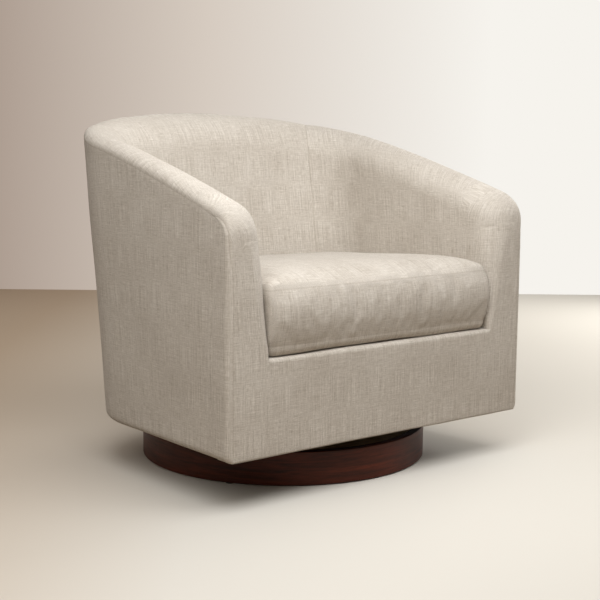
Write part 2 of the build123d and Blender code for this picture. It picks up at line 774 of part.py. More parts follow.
CUSHION_LOW = DECK_HEIGHT + GAP
CUSHION_MIDDLE = (CUSHION_LOW_SEAM + CUSHION_TOP_SEAM) / 2
CUSHION_BOW_CENTRE = CUSHION_BACK - SEAT_BACK_BOW_RADIUS
CROWN_STEPS = (0.0, 0.07, 0.27, 0.6, 1.0)


def cushion_section(z, inset):
    """The cushion's plan at a height: bowed front, drawn-in sides, round corners, bowed back."""
    half = CUSHION_HALF_WIDTH - inset
    front_y = -CUSHION_FRONT + inset
    corner = CUSHION_REAR_CORNER - inset * CUSHION_REAR_CORNER / (2 * CUSHION_CROWN_REACH)
    bow = SEAT_BACK_BOW_RADIUS - inset
    centre_x = half - corner
    centre = (centre_x, CUSHION_BOW_CENTRE + sqrt((bow - corner) ** 2 - centre_x**2))
    bow_normal = atan2(centre[1] - CUSHION_BOW_CENTRE, centre_x)
    side_end = (half, centre[1])
    corner_end = on_circle((0, CUSHION_BOW_CENTRE), bow, bow_normal)
    corner_middle = on_circle(centre, corner, bow_normal / 2)
    front = (half, front_y + CUSHION_FRONT_SET_BACK)
    side_middle = (half - CUSHION_SIDE_DRAW, (front[1] + side_end[1]) / 2)
    edges = [
        ThreePointArc(mirrored(front), (0, front_y), front),
        ThreePointArc(front, side_middle, side_end),
        ThreePointArc(side_end, corner_middle, corner_end),
        ThreePointArc(corner_end, (0, CUSHION_BOW_CENTRE + bow), mirrored(corner_end)),
        ThreePointArc(mirrored(corner_end), mirrored(corner_middle), mirrored(side_end)),
        ThreePointArc(mirrored(side_end), mirrored(side_middle), mirrored(front)),
    ]
    face = Face(Wire(edges))
    front_corners = [v for v in face.vertices() if v.Y < front[1] + 1]
    shrink = CUSHION_FRONT_CORNER / (2 * CUSHION_CROWN_REACH)
    rounded = face.fillet_2d(CUSHION_FRONT_CORNER - inset * shrink, front_corners)
    return Pos(0, 0, z) * rounded


def cushion_form(inset):
    """The cushion at an inset from its surface: rolled foot, boxed sides, crowned top."""
    low, high = CUSHION_LOW + inset, CUSHION_CROWN - inset
    foot = loft(
        [
            cushion_section(low, CUSHION_UNDER_ROLL + inset),
            cushion_section((low + CUSHION_LOW_SEAM) / 2, CUSHION_UNDER_ROLL / 4 + inset),
            cushion_section(CUSHION_LOW_SEAM, inset),
        ]
    )
    sides = loft(
        [
            cushion_section(CUSHION_LOW_SEAM, inset),
            cushion_section(CUSHION_MIDDLE, inset - CUSHION_BULGE),
            cushion_section(CUSHION_TOP_SEAM, inset),
        ]
    )
    crown_sections = []
    rise = high - CUSHION_TOP_SEAM
    for share in CROWN_STEPS:
        height = CUSHION_TOP_SEAM + rise * sqrt(1 - (1 - share) ** 2)
        crown_sections.append(cushion_section(height, inset + CUSHION_CROWN_REACH * share))
    return foot + sides + loft(crown_sections)


def zip_zone():
    """The stretch of the cushion's back that the zip covers."""
    low, high = CUSHION_MIDDLE - ZIP_WIDTH / 2, CUSHION_MIDDLE + ZIP_WIDTH / 2
    return block(-ZIP_HALF_LENGTH, ZIP_HALF_LENGTH, 0, FAR, low, high)


def zip_slider():
    """The slider and its pull tab, at the closed end of the zip."""
    length, depth, height = SLIDER
    radius = SEAT_BACK_BOW_RADIUS + CUSHION_BULGE + ZIP_THICKNESS + GAP + depth / 2
    body = Box(length, depth, height)
    tab = Pos(0, depth / 2 - SLIDER_TAB[1] / 2, -height / 2 - SLIDER_TAB[2] / 2) * Box(*SLIDER_TAB)
    turn = -degrees(asin((ZIP_HALF_LENGTH - length) / radius))
    return Pos(0, CUSHION_BOW_CENTRE, CUSHION_MIDDLE) * Rot(0, 0, turn) * Pos(0, radius, 0) * (body + tab)


def save_cushion():
    """Cover, core, zip and slider."""
    outside = cushion_form(0.0)
    save("cushion_cover", outside - cushion_form(CUSHION_COVER))
    save("cushion_core", cushion_form(CUSHION_COVER + GAP))
    save("cushion_zip", (cushion_form(-ZIP_THICKNESS) - cushion_form(-FIT)) & zip_zone())
    save("zip_slider", zip_slider())


# ------------------------------------------------------------------ write every sub-part


def main():
    """Build the chair, from the floor up."""
    os.makedirs("parts", exist_ok=True)
    save("plinth_ring", plinth_ring())
    save("plinth_top_board", plinth_top_board())
    save("plinth_glue_blocks", glue_blocks())
    save("floor_glides", floor_glides())

    lower_race = (LOWER_PLATE_TOP, BALL_HEIGHT - RACE_HALF_GAP)
    upper_race = (BALL_HEIGHT + RACE_HALF_GAP, UPPER_PLATE_LOW)
    lower = swivel_plate(BOARD_TOP, LOWER_PLATE_TOP, *lower_race, PIVOT_RADIUS + RUNNING)
    upper = swivel_plate(UPPER_PLATE_LOW, UPPER_PLATE_TOP, *upper_race, PIVOT_RADIUS + FIT)
    save("lower_swivel_plate", lower)
    save("upper_swivel_plate", upper)
    save("pivot_rivet", pivot_rivet())
    save("ball_cage", ball_cage())
    save("bearing_balls", bearing_balls())

    base_bolt_end = BOARD_LOW - NUT - BOLT_TAIL
    save("base_bolts", bolts(LOWER_PLATE_TOP, LOWER_PLATE_TOP + BOLT_HEAD, base_bolt_end, LOWER_PLATE_TOP))
    save("base_nuts", nuts(BOARD_LOW - NUT, BOARD_LOW))
    seat_bolt_end = MOUNTING_TOP + NUT + BOLT_TAIL
    save("seat_bolts", bolts(UPPER_PLATE_LOW - BOLT_HEAD, UPPER_PLATE_LOW, UPPER_PLATE_LOW, seat_bolt_end))
    save("seat_nuts", nuts(MOUNTING_TOP, MOUNTING_TOP + NUT))

    save_frame()
    save_outer_boards()
    save_springs()
    save("deck_pad", deck_pad())
    save_pads()
    save_outer_padding()
    save_covers()
    save("dust_cover", dust_cover())
    save_cushion()


main()
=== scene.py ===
import json
import math

import bmesh
import bpy
import numpy as np
from mathutils import Matrix, Vector


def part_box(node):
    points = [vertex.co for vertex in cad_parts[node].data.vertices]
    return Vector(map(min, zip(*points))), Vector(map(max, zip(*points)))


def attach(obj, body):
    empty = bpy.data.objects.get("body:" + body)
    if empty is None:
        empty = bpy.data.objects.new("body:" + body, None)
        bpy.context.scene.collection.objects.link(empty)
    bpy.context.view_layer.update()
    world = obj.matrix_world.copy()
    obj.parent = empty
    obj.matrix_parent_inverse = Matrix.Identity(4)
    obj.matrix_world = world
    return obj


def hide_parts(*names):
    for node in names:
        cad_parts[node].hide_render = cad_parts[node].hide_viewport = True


# The looks of a swivel barrel chair: linen covers with seams, a loose boxed cushion and a
# walnut plinth. Metres, +Z up, origin on the floor on the swivel axis, front towards -Y.
# "Right" is the +X side. The upholstery is built for that side and mirrored.

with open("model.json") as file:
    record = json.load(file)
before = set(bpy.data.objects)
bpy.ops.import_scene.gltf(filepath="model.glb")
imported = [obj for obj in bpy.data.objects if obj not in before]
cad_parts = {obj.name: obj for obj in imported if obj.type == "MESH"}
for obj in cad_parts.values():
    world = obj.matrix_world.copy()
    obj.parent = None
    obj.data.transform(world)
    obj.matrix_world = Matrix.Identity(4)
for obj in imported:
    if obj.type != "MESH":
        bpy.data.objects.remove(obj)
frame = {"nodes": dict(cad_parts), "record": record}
scene = bpy.context.scene
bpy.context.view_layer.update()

# ---- sizes

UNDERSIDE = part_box("outer_cover_back")[0].z
FRONT_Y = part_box("front_border")[0].y
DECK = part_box("deck_cover")[1].z
LEAN = math.tan(math.radians(8.0))
OUTER = dict(front_half=0.375, rear_half=0.361, corner=0.185, bow=0.620, reach=0.277)
INNER = dict(front_half=0.281, rear_half=0.281, corner=0.130, bow=0.700, reach=0.185)

# The arms' and back's top line, as three points (y, z) of a circle
ARM_START = (-0.250, 0.546)
ARM_MIDDLE = (0.030, 0.622)
BACK_TOP = (0.355, 0.690)

# How far the top stands above that line: up on the back, down at the back corners
CROWN_T = (0.0, 0.8, 1.25, 1.67, 1.85, 2.1, 2.5, 3.0)
CROWN_UP = (0.0, 0.0, -0.003, -0.005, -0.003, 0.001, 0.0035, 0.0045)

NOSE = 0.062                 # radius of the arm's front top corner, seen from the side
INNER_NOSE = 0.028           # the same corner on the inside of the arm
TOP_OUTER_ROLL = (0.026, 0.022)      # width and depth of the roll along the arm's outside
TOP_INNER_ROLL = (0.058, 0.056)
FRONT_OUTER_ROLL = 0.012
INNER_ROLL_AT = (            # height and radius of the inner front edge, sharp at the deck
    (0.266, 0.008), (0.284, 0.011), (0.308, 0.020), (0.353, 0.032),
    (0.400, 0.040), (0.440, 0.050), (0.470, 0.060),
)
NOSE_SOFTER = 0.004          # the inner roll is a little wider round the nose
DECK_INNER_ROLL, NOSE_INNER_ROLL = INNER_ROLL_AT[0][1], INNER_ROLL_AT[-1][1]
BOTTOM_ROLL = 0.014
FRONT_BOTTOM_ROLL = 0.004
CORNER_BOTTOM_ROLL = 0.011   # the most that the front corner's foot is drawn in
UNDER_WRAP = 0.046           # how far the covers reach under the frame
FRONT_LOWER = 0.0006         # the border is wrapped over the side covers
DECK_EDGE = 0.008
DECK_LAP = 0.045             # how far the border reaches back over the deck
INSIDE_LAP = 0.002           # how far the inside covers reach below the deck
SEAM_AT_BACK_CORNER = 1.67   # along the inside outline: 1 is where its corner starts, 2 ends
OUTER_SEAM_AT_CORNER = 1.80

SEAM_TURN = 0.080            # length over which the arm's outer seam leaves the front edge
SEAM_DEPTH = 0.0008
SEAM_REACH = 0.0045
CLOTH_THICKNESS = 0.0016

# ---- outlines


def between(a, b, share):
    """A value or point that lies a share of the way from a to b."""
    return a + (b - a) * share


def circle_through(a, b, c):
    """Centre and radius of the circle through three points."""
    ax, ay = a
    bx, by = b
    cx, cy = c
    d = 2 * (ax * (by - cy) + bx * (cy - ay) + cx * (ay - by))
    a2, b2, c2 = ax * ax + ay * ay, bx * bx + by * by, cx * cx + cy * cy
    ux = (a2 * (by - cy) + b2 * (cy - ay) + c2 * (ay - by)) / d
    uy = (a2 * (cx - bx) + b2 * (ax - cx) + c2 * (bx - ax)) / d
    return (ux, uy), math.hypot(ax - ux, ay - uy)


RIDGE_CENTRE, RIDGE_RADIUS = circle_through(ARM_START, ARM_MIDDLE, BACK_TOP)


def ridge(y, inset=0.0):
    """Height of the top line, or of a line set in from it."""
    return RIDGE_CENTRE[1] + np.sqrt((RIDGE_RADIUS - inset) ** 2 - (y - RIDGE_CENTRE[0]) ** 2)


def outline(o, t, z, inset=0.0):
    """Plan point of a D outline at a height: t 0..1 side, 1..2 corner, 2..3 back to the middle."""
    t, z = np.broadcast_arrays(t, z)
    bow_y = o["reach"] + (z - UNDERSIDE) * LEAN - o["bow"]
    cx = o["rear_half"] - o["corner"]
    cy = bow_y + math.sqrt((o["bow"] - o["corner"]) ** 2 - cx**2)
    fx, fy = cx - o["front_half"], cy - FRONT_Y
    heading = np.arctan2(fy, fx) - np.arcsin(o["corner"] / np.hypot(fx, fy))
    side_normal = heading - math.pi / 2
    bow_normal = np.arctan2(cy - bow_y, cx)
    r, bow = o["corner"] - inset, o["bow"] - inset
    end_x, end_y = cx + r * np.cos(side_normal), cy + r * np.sin(side_normal)
    side_y = between(FRONT_Y, end_y, t)
    side_x = end_x + (side_y - end_y) / np.tan(heading)
    turn = between(side_normal, bow_normal, t - 1)
    back = between(bow_normal, math.pi / 2, t - 2)
    x = np.where(t < 1, side_x, np.where(t < 2, cx + r * np.cos(turn), bow * np.cos(back)))
    y = np.where(t < 1, side_y, np.where(t < 2, cy + r * np.sin(turn), bow_y + bow * np.sin(back)))
    return np.stack([x, y], -1)


def side_t(o, y, z):
    """The t of a point on the straight side."""
    end = outline(o, 1.0, z)[..., 1]
    return (y - FRONT_Y) / (end - FRONT_Y)


def smooth(v):
    """An eased step from 0 to 1."""
    v = np.clip(v, 0, 1)
    return v * v * (3 - 2 * v)


# ---- the arm's side view

NOSE_Y = FRONT_Y + NOSE
NOSE_Z = ridge(NOSE_Y, NOSE)
NOSE_END = math.pi - math.atan2(NOSE_Z - RIDGE_CENTRE[1], NOSE_Y - RIDGE_CENTRE[0])
INNER_NOSE_Y = FRONT_Y + NOSE_INNER_ROLL + INNER_NOSE
INNER_NOSE_Z = ridge(INNER_NOSE_Y, TOP_INNER_ROLL[1] + INNER_NOSE)
FRONT_ROWS = 40
NOSE_ROWS = 10
ARM_ROWS = 46
CORNER_ROWS = 22
BACK_COLUMNS = 34
ROW_STEP = 0.007             # from the nose's last row to the first row that has a t


def rim_rows():
    """The rows of the band over the arm. Up the front and round the nose t is None, and a row has
    side-view points (y, z) on the rim, the outer wall and the inner wall, the rolls' widths, the
    seam's place in the outer roll and the way its cloth leans. Behind that it has its t alone."""
    rows = []
    for f in np.linspace(0, 1, FRONT_ROWS + 1)[:-1]:
        z_out, z_in = between(DECK, NOSE_Z, f), between(DECK, INNER_NOSE_Z, f)
        roll = np.interp(z_in, *zip(*INNER_ROLL_AT))
        rows.append(dict(
            rim=(FRONT_Y, z_out), rim_in=(FRONT_Y, z_in), outer=(FRONT_Y + FRONT_OUTER_ROLL, z_out),
            inner=(FRONT_Y + roll, z_in), w_out=FRONT_OUTER_ROLL, w_in=roll, t=None,
            seam=1.0 - 0.5 * smooth(1 + (z_out - NOSE_Z) / SEAM_TURN), lean=(-1.0, 0.0),
        ))
    for i in range(NOSE_ROWS + 1):
        share = i / NOSE_ROWS
        angle = share * NOSE_END
        way = np.array([-math.cos(angle), math.sin(angle)])
        e = smooth(share)
        rim = (NOSE_Y, NOSE_Z) + NOSE * way
        rows.append(dict(
            rim=rim, rim_in=rim, inner=(INNER_NOSE_Y, INNER_NOSE_Z) + INNER_NOSE * way,
            outer=(NOSE_Y, NOSE_Z) + (NOSE - between(FRONT_OUTER_ROLL, TOP_OUTER_ROLL[1], e)) * way,
            w_out=between(FRONT_OUTER_ROLL, TOP_OUTER_ROLL[0], e),
            w_in=between(NOSE_INNER_ROLL, TOP_INNER_ROLL[0], e) + NOSE_SOFTER * math.sin(math.pi * share),
            seam=0.5 * (1 - e), t=None, lean=way,
        ))
    last = rows[-1]
    t_start = max(
        side_t(o, last[side][0] + ROW_STEP, last[side][1]) for o, side in ((OUTER, "outer"), (INNER, "inner"))
    )
    t_rows = np.concatenate([
        between(t_start, 1, np.linspace(0, 1, ARM_ROWS + 1)[:-1]),
        np.linspace(1, SEAM_AT_BACK_CORNER, CORNER_ROWS + 1),
    ])
    return rows + [dict(t=t) for t in t_rows]


def outer_t(t):
    """The outer outline's t that stands opposite an inner one."""
    return np.interp(t, [0, 1, SEAM_AT_BACK_CORNER, 3], [0, 1, OUTER_SEAM_AT_CORNER, 3])


OUTER_ROLL_COLUMNS = 8
FLAT_COLUMNS = 5
INNER_ROLL_COLUMNS = 12
LOW_COLUMNS = 24
CENTRE_COLUMNS = 56
WRAP_ROWS = 4
ROLL_ROWS = 6
OUTER_SHARES = np.linspace(0, 1, OUTER_ROLL_COLUMNS + 1)
INNER_SHARES = np.linspace(0, 1, INNER_ROLL_COLUMNS + 1)
FLAT_SHARES = np.linspace(0, 1, FLAT_COLUMNS + 2)[1:-1]


def side_x(o, y, z):
    """The x of an outline's straight side at y and z."""
    return outline(o, side_t(o, y, z), z)[..., 0]


def top_point(t, share, from_out, from_in, depth):
    """A point on top of the wall, between two that are set in from its outside and its inside."""
    z = 0.6
    for _ in range(6):
        a, b = outline(OUTER, outer_t(t), z), outline(INNER, t, z)
        way = (b - a) / np.linalg.norm(b - a)
        plan = (a + way * from_out) * (1 - share) + (b - way * from_in) * share
        z = ridge(plan[1]) + np.interp(t, CROWN_T, CROWN_UP) - depth
    return np.array([*plan, z])


def front_roll(row, shares, z=None):
    """The outer roll at the arm's front and nose, as the row has it or at a height."""
    points = []
    for a in shares * math.pi / 2:
        y, height = between(np.array(row["outer"]), np.array(row["rim"]), math.sin(a))
        height = height if z is None else z
        points.append((side_x(OUTER, y, height) - row["w_out"] * (1 - math.cos(a)), y, height))
    return np.array(points)


def band_row(row):
    """One row over the arm: the outer roll from the wall up, the flat, the inner roll down."""
    t = row["t"]
    if t is None:
        outer_part, inner_part = front_roll(row, OUTER_SHARES), []
        for a in INNER_SHARES * math.pi / 2:
            y, z = between(np.array(row["rim_in"]), np.array(row["inner"]), 1 - math.cos(a))
            inner_part.append((side_x(INNER, y, z) + row["w_in"] * (1 - math.sin(a)), y, z))
        inner_part = np.array(inner_part)
        flat = between(outer_part[-1], inner_part[0], FLAT_SHARES[:, None])
        return outer_part, flat, inner_part
    width, depth = TOP_OUTER_ROLL
    outer_part = [
        top_point(t, 0, width * (1 - math.cos(a)), 0, depth * (1 - math.sin(a)))
        for a in OUTER_SHARES * math.pi / 2
    ]
    flat = [top_point(t, f, TOP_OUTER_ROLL[0], TOP_INNER_ROLL[0], 0.0) for f in FLAT_SHARES]
    width, depth = TOP_INNER_ROLL
    inner_part = [
        top_point(t, 1, 0, width * (1 - math.sin(a)), depth * (1 - math.cos(a)))
        for a in INNER_SHARES * math.pi / 2
    ]
    return np.array(outer_part), np.array(flat), np.array(inner_part)


def at_height(plan, z):
    """Plan points at a height, or at a height each."""
    return np.concatenate([plan, np.broadcast_to(z, plan.shape[:-1])[..., None]], -1)


def lengths(points):
    """Distance along a line of points."""
    return np.concatenate([[0], np.cumsum(np.linalg.norm(np.diff(points, axis=0), axis=1))])


# ---- meshes from grids

WELD = 0.00012
SLIVER = 0.00005             # faces thinner than this are dissolved
FAR = 0.030                  # no point counts as further than this from a seam
PUCKER = 0.0005
PUCKER_LENGTH = 0.017
PUCKER_START = 0.008         # distance from the seam at which the puckers are full
PUCKER_FADE = 0.012
PUCKER_WANDER = 0.08
WAVE_LENGTH = 0.22
WAVE_START = 0.02


def cloth_of(run, points):
    """Cloth coordinates of a grid: a length along the cloth, and the height."""
    return np.stack([np.broadcast_to(run, points.shape[:2]), points[..., 2]], -1)


class Patch:
    """Points of one piece, gathered from grids that share their edges."""

    def __init__(self):
        self.points, self.cloth, self.faces = [], [], []

    def grid(self, points, cloth, flip=False):
        """Add a grid of points (rows, columns, 3) with its cloth coordinates (rows, columns, 2)."""
        rows, columns = points.shape[:2]
        first = len(self.points)
        self.points.extend(points.reshape(-1, 3))
        self.cloth.extend(cloth.reshape(-1, 2))
        for i, j in np.ndindex(rows - 1, columns - 1):
            a = first + i * columns + j
            face = (a, a + 1, a + columns + 1, a + columns)
            self.faces.append(face[::-1] if flip else face)

    def mirrored(self):
        """The same patch on the other side."""
        other = Patch()
        other.points = [p * (-1, 1, 1) for p in self.points]
        other.cloth = [c * (-1, 1) for c in self.cloth]
        other.faces = [f[::-1] for f in self.faces]
        return other

    def doubled(self):
        """This patch with its mirror image joined to it."""
        other, first = self.mirrored(), len(self.points)
        self.points.extend(other.points)
        self.cloth.extend(other.cloth)
        self.faces.extend(tuple(first + v for v in f) for f in other.faces)
        return self

    def mesh(self, name):
        """A welded mesh with the cloth coordinates stored on it."""
        data = bpy.data.meshes.new(name)
        data.from_pydata([tuple(p) for p in self.points], [], self.faces)
        store(data, "cloth", np.array([(*c, 0.0) for c in self.cloth]))
        work = bmesh.new()
        work.from_mesh(data)
        bmesh.ops.remove_doubles(work, verts=work.verts, dist=WELD)
        bmesh.ops.dissolve_degenerate(work, edges=work.edges, dist=SLIVER)
        for edge in work.edges:
            edge.smooth = not edge.is_boundary
        work.to_mesh(data)
        work.free()
        return data


def store(data, name, values):
    """Store a vector or a number for each point of a mesh."""
    kind, key = ("FLOAT_VECTOR", "vector") if values.ndim == 2 else ("FLOAT", "value")
    layer = data.attributes.get(name) or data.attributes.new(name, kind, "POINT")
    layer.data.foreach_set(key, values.astype(np.float32).ravel())


def read_vectors(items, key):
    """A vector of each of a mesh's items as an array."""
    values = np.zeros(len(items) * 3)
    items.foreach_get(key, values)
    return values.reshape(-1, 3)


def write_points(data, points):
    """Move the mesh's points."""
    data.vertices.foreach_set("co", points.astype(np.float32).ravel())
    data.update()


def soft_noise(points, size, seed):
    """Smooth noise from a few waves in random directions, between about -1 and 1."""
    source = np.random.default_rng(seed)
    total = np.zeros(len(points))
    for _ in range(14):
        way = source.normal(size=3)
        way *= 2 * math.pi / (size * source.uniform(0.6, 1.7)) / np.linalg.norm(way)
        total += np.sin(points @ way + source.uniform(0, 2 * math.pi))
    return total / 4


def distance_to_lines(points, lines):
    """Distance from each point to the nearest of some polylines, and the length along it."""
    best = np.full(len(points), np.inf)
    along = np.zeros(len(points))
    for line in lines:
        run = lengths(line)
        for i in range(len(line) - 1):
            a, b = line[i], line[i + 1]
            inside = (points > np.minimum(a, b) - FAR) & (points < np.maximum(a, b) + FAR)
            near = np.where(inside.all(1))[0]
            ab = b - a
            f = np.clip(((points[near] - a) @ ab) / max(ab @ ab, 1e-12), 0, 1)
            d = np.linalg.norm(points[near] - (a + f[:, None] * ab), axis=1)
            better = d < best[near]
            best[near[better]] = d[better]
            along[near[better]] = between(run[i], run[i + 1], f[better])
    return np.minimum(best, FAR), along


def dress(data, seams, wave, seed):
    """Sink the seams, pucker the cloth beside them and let the panels wave a little."""
    points, normals = read_vectors(data.vertices, "co"), read_vectors(data.vertex_normals, "vector")
    away, along = distance_to_lines(points, seams)
    groove = -SEAM_DEPTH * np.exp(-((away / SEAM_REACH) ** 2) * 1.6)
    pucker = PUCKER * np.exp(-away / PUCKER_FADE) * (away / PUCKER_START).clip(0, 1)
    pucker *= np.sin(along * 2 * math.pi / PUCKER_LENGTH + 3 * soft_noise(points, PUCKER_WANDER, seed + 5))
    waves = wave * soft_noise(points, WAVE_LENGTH, seed) * smooth(away / WAVE_START)
    write_points(data, points + normals * (groove + pucker + waves)[:, None])
    store(data, "seam", away)


def link(name, data):
    """A new object in the scene."""
    made = bpy.data.objects.new(name, data)
    scene.collection.objects.link(made)
    return made


def cloth_piece(name, data, body, material, replaced):
    """A smooth piece of cloth that rides on a body and stands for some nodes."""
    piece = link(name, data)
    for polygon in data.polygons:
        polygon.use_smooth = True
    data.materials.append(material)
    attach(piece, body)
    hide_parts(*replaced)
    return piece


def finish_cover(piece):
    """Round a cover off and give it the cloth's thickness inwards."""
    round_off = piece.modifiers.new("round", "SUBSURF")
    round_off.levels = round_off.render_levels = 1
    round_off.boundary_smooth = "PRESERVE_CORNERS"
    thick = piece.modifiers.new("cloth", "SOLIDIFY")
    thick.thickness = CLOTH_THICKNESS
    thick.offset = -1.0


# ---- the body's covers

RUN_HEIGHT = 0.45            # where lengths along an outline are measured
CORNER_RUN = 0.012           # where along its cloth the side turns into the front corner
UNDER_RUN = 0.050            # length of the border's cloth below its bottom edge

ROWS = rim_rows()
BANDS = [band_row(row) for row in ROWS]
NOSE_PAST = FRONT_ROWS + NOSE_ROWS + 1      # the first row behind the nose
BACK_T = np.linspace(SEAM_AT_BACK_CORNER, 3, BACK_COLUMNS + 1)
BACK_ROWS = [dict(t=t) for t in BACK_T]
BACK_BANDS = [band_row(row) for row in BACK_ROWS]
LOW_Z = np.concatenate([     # the covers' rows from the bottom roll up to the deck
    np.linspace(UNDERSIDE + BOTTOM_ROLL, DECK - DECK_EDGE, LOW_COLUMNS + 1)[:-1],
    DECK - DECK_EDGE + DECK_EDGE * np.sin(np.linspace(0, math.pi / 2, 7)),
])


def outline_run(o, t_values):
    """Length along an outline from its front, at each t."""
    fine = np.linspace(0, 3, 1200)
    return np.interp(t_values, fine, lengths(outline(o, fine, RUN_HEIGHT)))


def row_t(o, row, z):
    """The t of a row on an outline, at a height or at each of some heights."""
    if row["t"] is not None:
        return outer_t(row["t"]) if o is OUTER else row["t"]
    return side_t(o, row["outer" if o is OUTER else "inner"][0], z)


def wall_rows(o, rows, bands):
    """The wall under each row of the band: outside from the bottom up, inside from the deck up."""
    columns = []
    for row, (outer_part, _, inner_part) in zip(rows, bands):
        if o is OUTER:
            top, foot, lower = outer_part[0], DECK, LOW_Z[:-1]
        else:
            top, foot, lower = inner_part[-1], DECK - INSIDE_LAP, []
        z = np.concatenate([lower, between(foot, top[2], np.linspace(0, 1, FRONT_ROWS + 1))])
        column = at_height(outline(o, row_t(o, row, z), z), z)
        column[-1] = top
        columns.append(column)
    return np.array(columns)


def plan_normals(line):
    """Outward directions in plan along a line that runs from the front to the back."""
    step = np.gradient(line[:, :2], axis=0)
    normal = np.column_stack([step[:, 1], -step[:, 0]])
    return normal / np.linalg.norm(normal, axis=1)[:, None]


def under_roll(points, normals, radius, wrap):
    """Rows that roll a bottom edge under and wrap it inwards, the innermost first."""
    steps = [(radius + d, 0 * radius) for d in np.linspace(wrap, 0, WRAP_ROWS + 1)[:-1]]
    for a in np.linspace(0, math.pi / 2, ROLL_ROWS + 1)[:-1]:
        steps.append((radius * (1 - math.sin(a)), radius * (1 - math.cos(a))))
    return np.array([
        at_height(points[:, :2] - normals * inwards[:, None], UNDERSIDE + up) for inwards, up in steps
    ])


def wall_foot(wall, normals):
    """The bottom edge of a wall, rolled under the frame."""
    radius = np.full(len(wall), BOTTOM_ROLL)
    rows = under_roll(wall[:, 0], normals, radius, UNDER_WRAP - BOTTOM_ROLL)
    return np.concatenate([np.swapaxes(rows, 0, 1), wall[:, :1]], 1)


def band_grid(rows, bands, wall_end_run, upright):
    """The band with its cloth coordinates. In the first upright rows they follow the height."""
    points, cloth = [], []
    tops = np.array([band[2][-1] for band in bands])
    slope = np.gradient(tops[:, 2], np.maximum.accumulate(wall_end_run + np.arange(len(rows)) * 1e-7))
    for i, (row, (outer_part, flat, inner_part)) in enumerate(zip(rows, bands)):
        if row["t"] is None:
            outer_part = front_roll(row, row["seam"] + (1 - row["seam"]) * OUTER_SHARES)
            lean = row["lean"]
        else:
            lean = np.array([-slope[i], 1.0]) / math.hypot(slope[i], 1.0)
        line = np.concatenate([outer_part, flat, inner_part])
        away = lengths(line[::-1])[::-1]
        height = line[:, 2] if i < upright else tops[i, 2] + away * lean[1]
        points.append(line)
        cloth.append(np.column_stack([wall_end_run[i] + away * lean[0], height]))
    return np.array(points), np.array(cloth)


def make_outer_side():
    """The right side's cover with its bottom wrap and its share of the front's vertical roll,
    and the seam line that ends this share."""
    patch = Patch()
    wall = wall_rows(OUTER, ROWS[FRONT_ROWS:], BANDS[FRONT_ROWS:])
    run = (lengths(wall[:, 0]) + CORNER_RUN)[:, None]
    patch.grid(wall, cloth_of(run, wall), flip=True)
    foot = wall_foot(wall, plan_normals(wall[:, 0]))
    patch.grid(foot, cloth_of(run, foot), flip=True)
    corner = np.array(
        [front_roll(ROWS[0], OUTER_SHARES, z) for z in LOW_Z[:-1]]
        + [front_roll(row, OUTER_SHARES * row["seam"]) for row in ROWS[:NOSE_PAST]]
    )
    across = CORNER_RUN - np.array([lengths(line) for line in corner])
    patch.grid(corner, cloth_of(across, corner), flip=True)
    turn = OUTER_SHARES * math.pi / 2
    radius = between(BOTTOM_ROLL, FRONT_BOTTOM_ROLL, OUTER_SHARES)
    foot = under_roll(
        corner[0], np.column_stack([np.cos(turn), -np.sin(turn)]), np.minimum(radius, CORNER_BOTTOM_ROLL), 0.0
    )[WRAP_ROWS:]
    edge_z = corner[0, 0, 2]
    foot[..., 2] = np.clip(foot[..., 2], UNDERSIDE, edge_z)
    foot[..., 2] += (edge_z - UNDERSIDE - radius) * np.linspace(0, 1, len(foot) + 1)[:-1, None] ** 3
    foot = np.concatenate([foot, corner[:1]])
    patch.grid(foot, cloth_of(across[:1], foot), flip=True)
    return patch, corner[:, -1]


def make_inside_arm():
    """The right arm's inside cover: the wall and the band, and the band's lowest row."""
    patch = Patch()
    rows = ROWS[FRONT_ROWS:]
    wall = wall_rows(INNER, rows, BANDS[FRONT_ROWS:])
    front_line = np.array([band[2][-1] for band in BANDS[:FRONT_ROWS + 1]])
    front_line[0, 2] = DECK - INSIDE_LAP
    wall[0] = front_line
    start = -INNER["front_half"]
    run = outline_run(INNER, [row_t(INNER, row, RUN_HEIGHT) for row in rows])
    run = start + np.repeat(run[:, None], wall.shape[1], 1)
    run[0] = start + front_line[:, 1] - FRONT_Y
    patch.grid(wall, cloth_of(run, wall))
    band, cloth = band_grid(ROWS, BANDS, np.concatenate([run[0], run[1:, -1]]), FRONT_ROWS)
    patch.grid(band, cloth, flip=True)
    return patch, band[0], cloth[0]


def make_back():
    """The right halves of the outer back and the inside back, and the seam line beside them."""
    outer, inside = Patch(), Patch()
    wall = wall_rows(OUTER, BACK_ROWS, BACK_BANDS)
    run = outline_run(OUTER, outer_t(BACK_T))
    run = (run - run[-1])[:, None]
    outer.grid(wall, cloth_of(run, wall), flip=True)
    normals = plan_normals(wall[:, 0])
    normals[-1] = (0, 1)
    foot = wall_foot(wall, normals)
    outer.grid(foot, cloth_of(run, foot), flip=True)
    inner_wall = wall_rows(INNER, BACK_ROWS, BACK_BANDS)
    run = outline_run(INNER, BACK_T)
    run = run - run[-1]
    inside.grid(inner_wall, cloth_of(run[:, None], inner_wall))
    band, cloth = band_grid(BACK_ROWS, BACK_BANDS, run, 0)
    inside.grid(band, cloth, flip=True)
    return outer, inside, np.concatenate([foot[0], wall[0], band[0][1:], inner_wall[0][::-1][1:]])


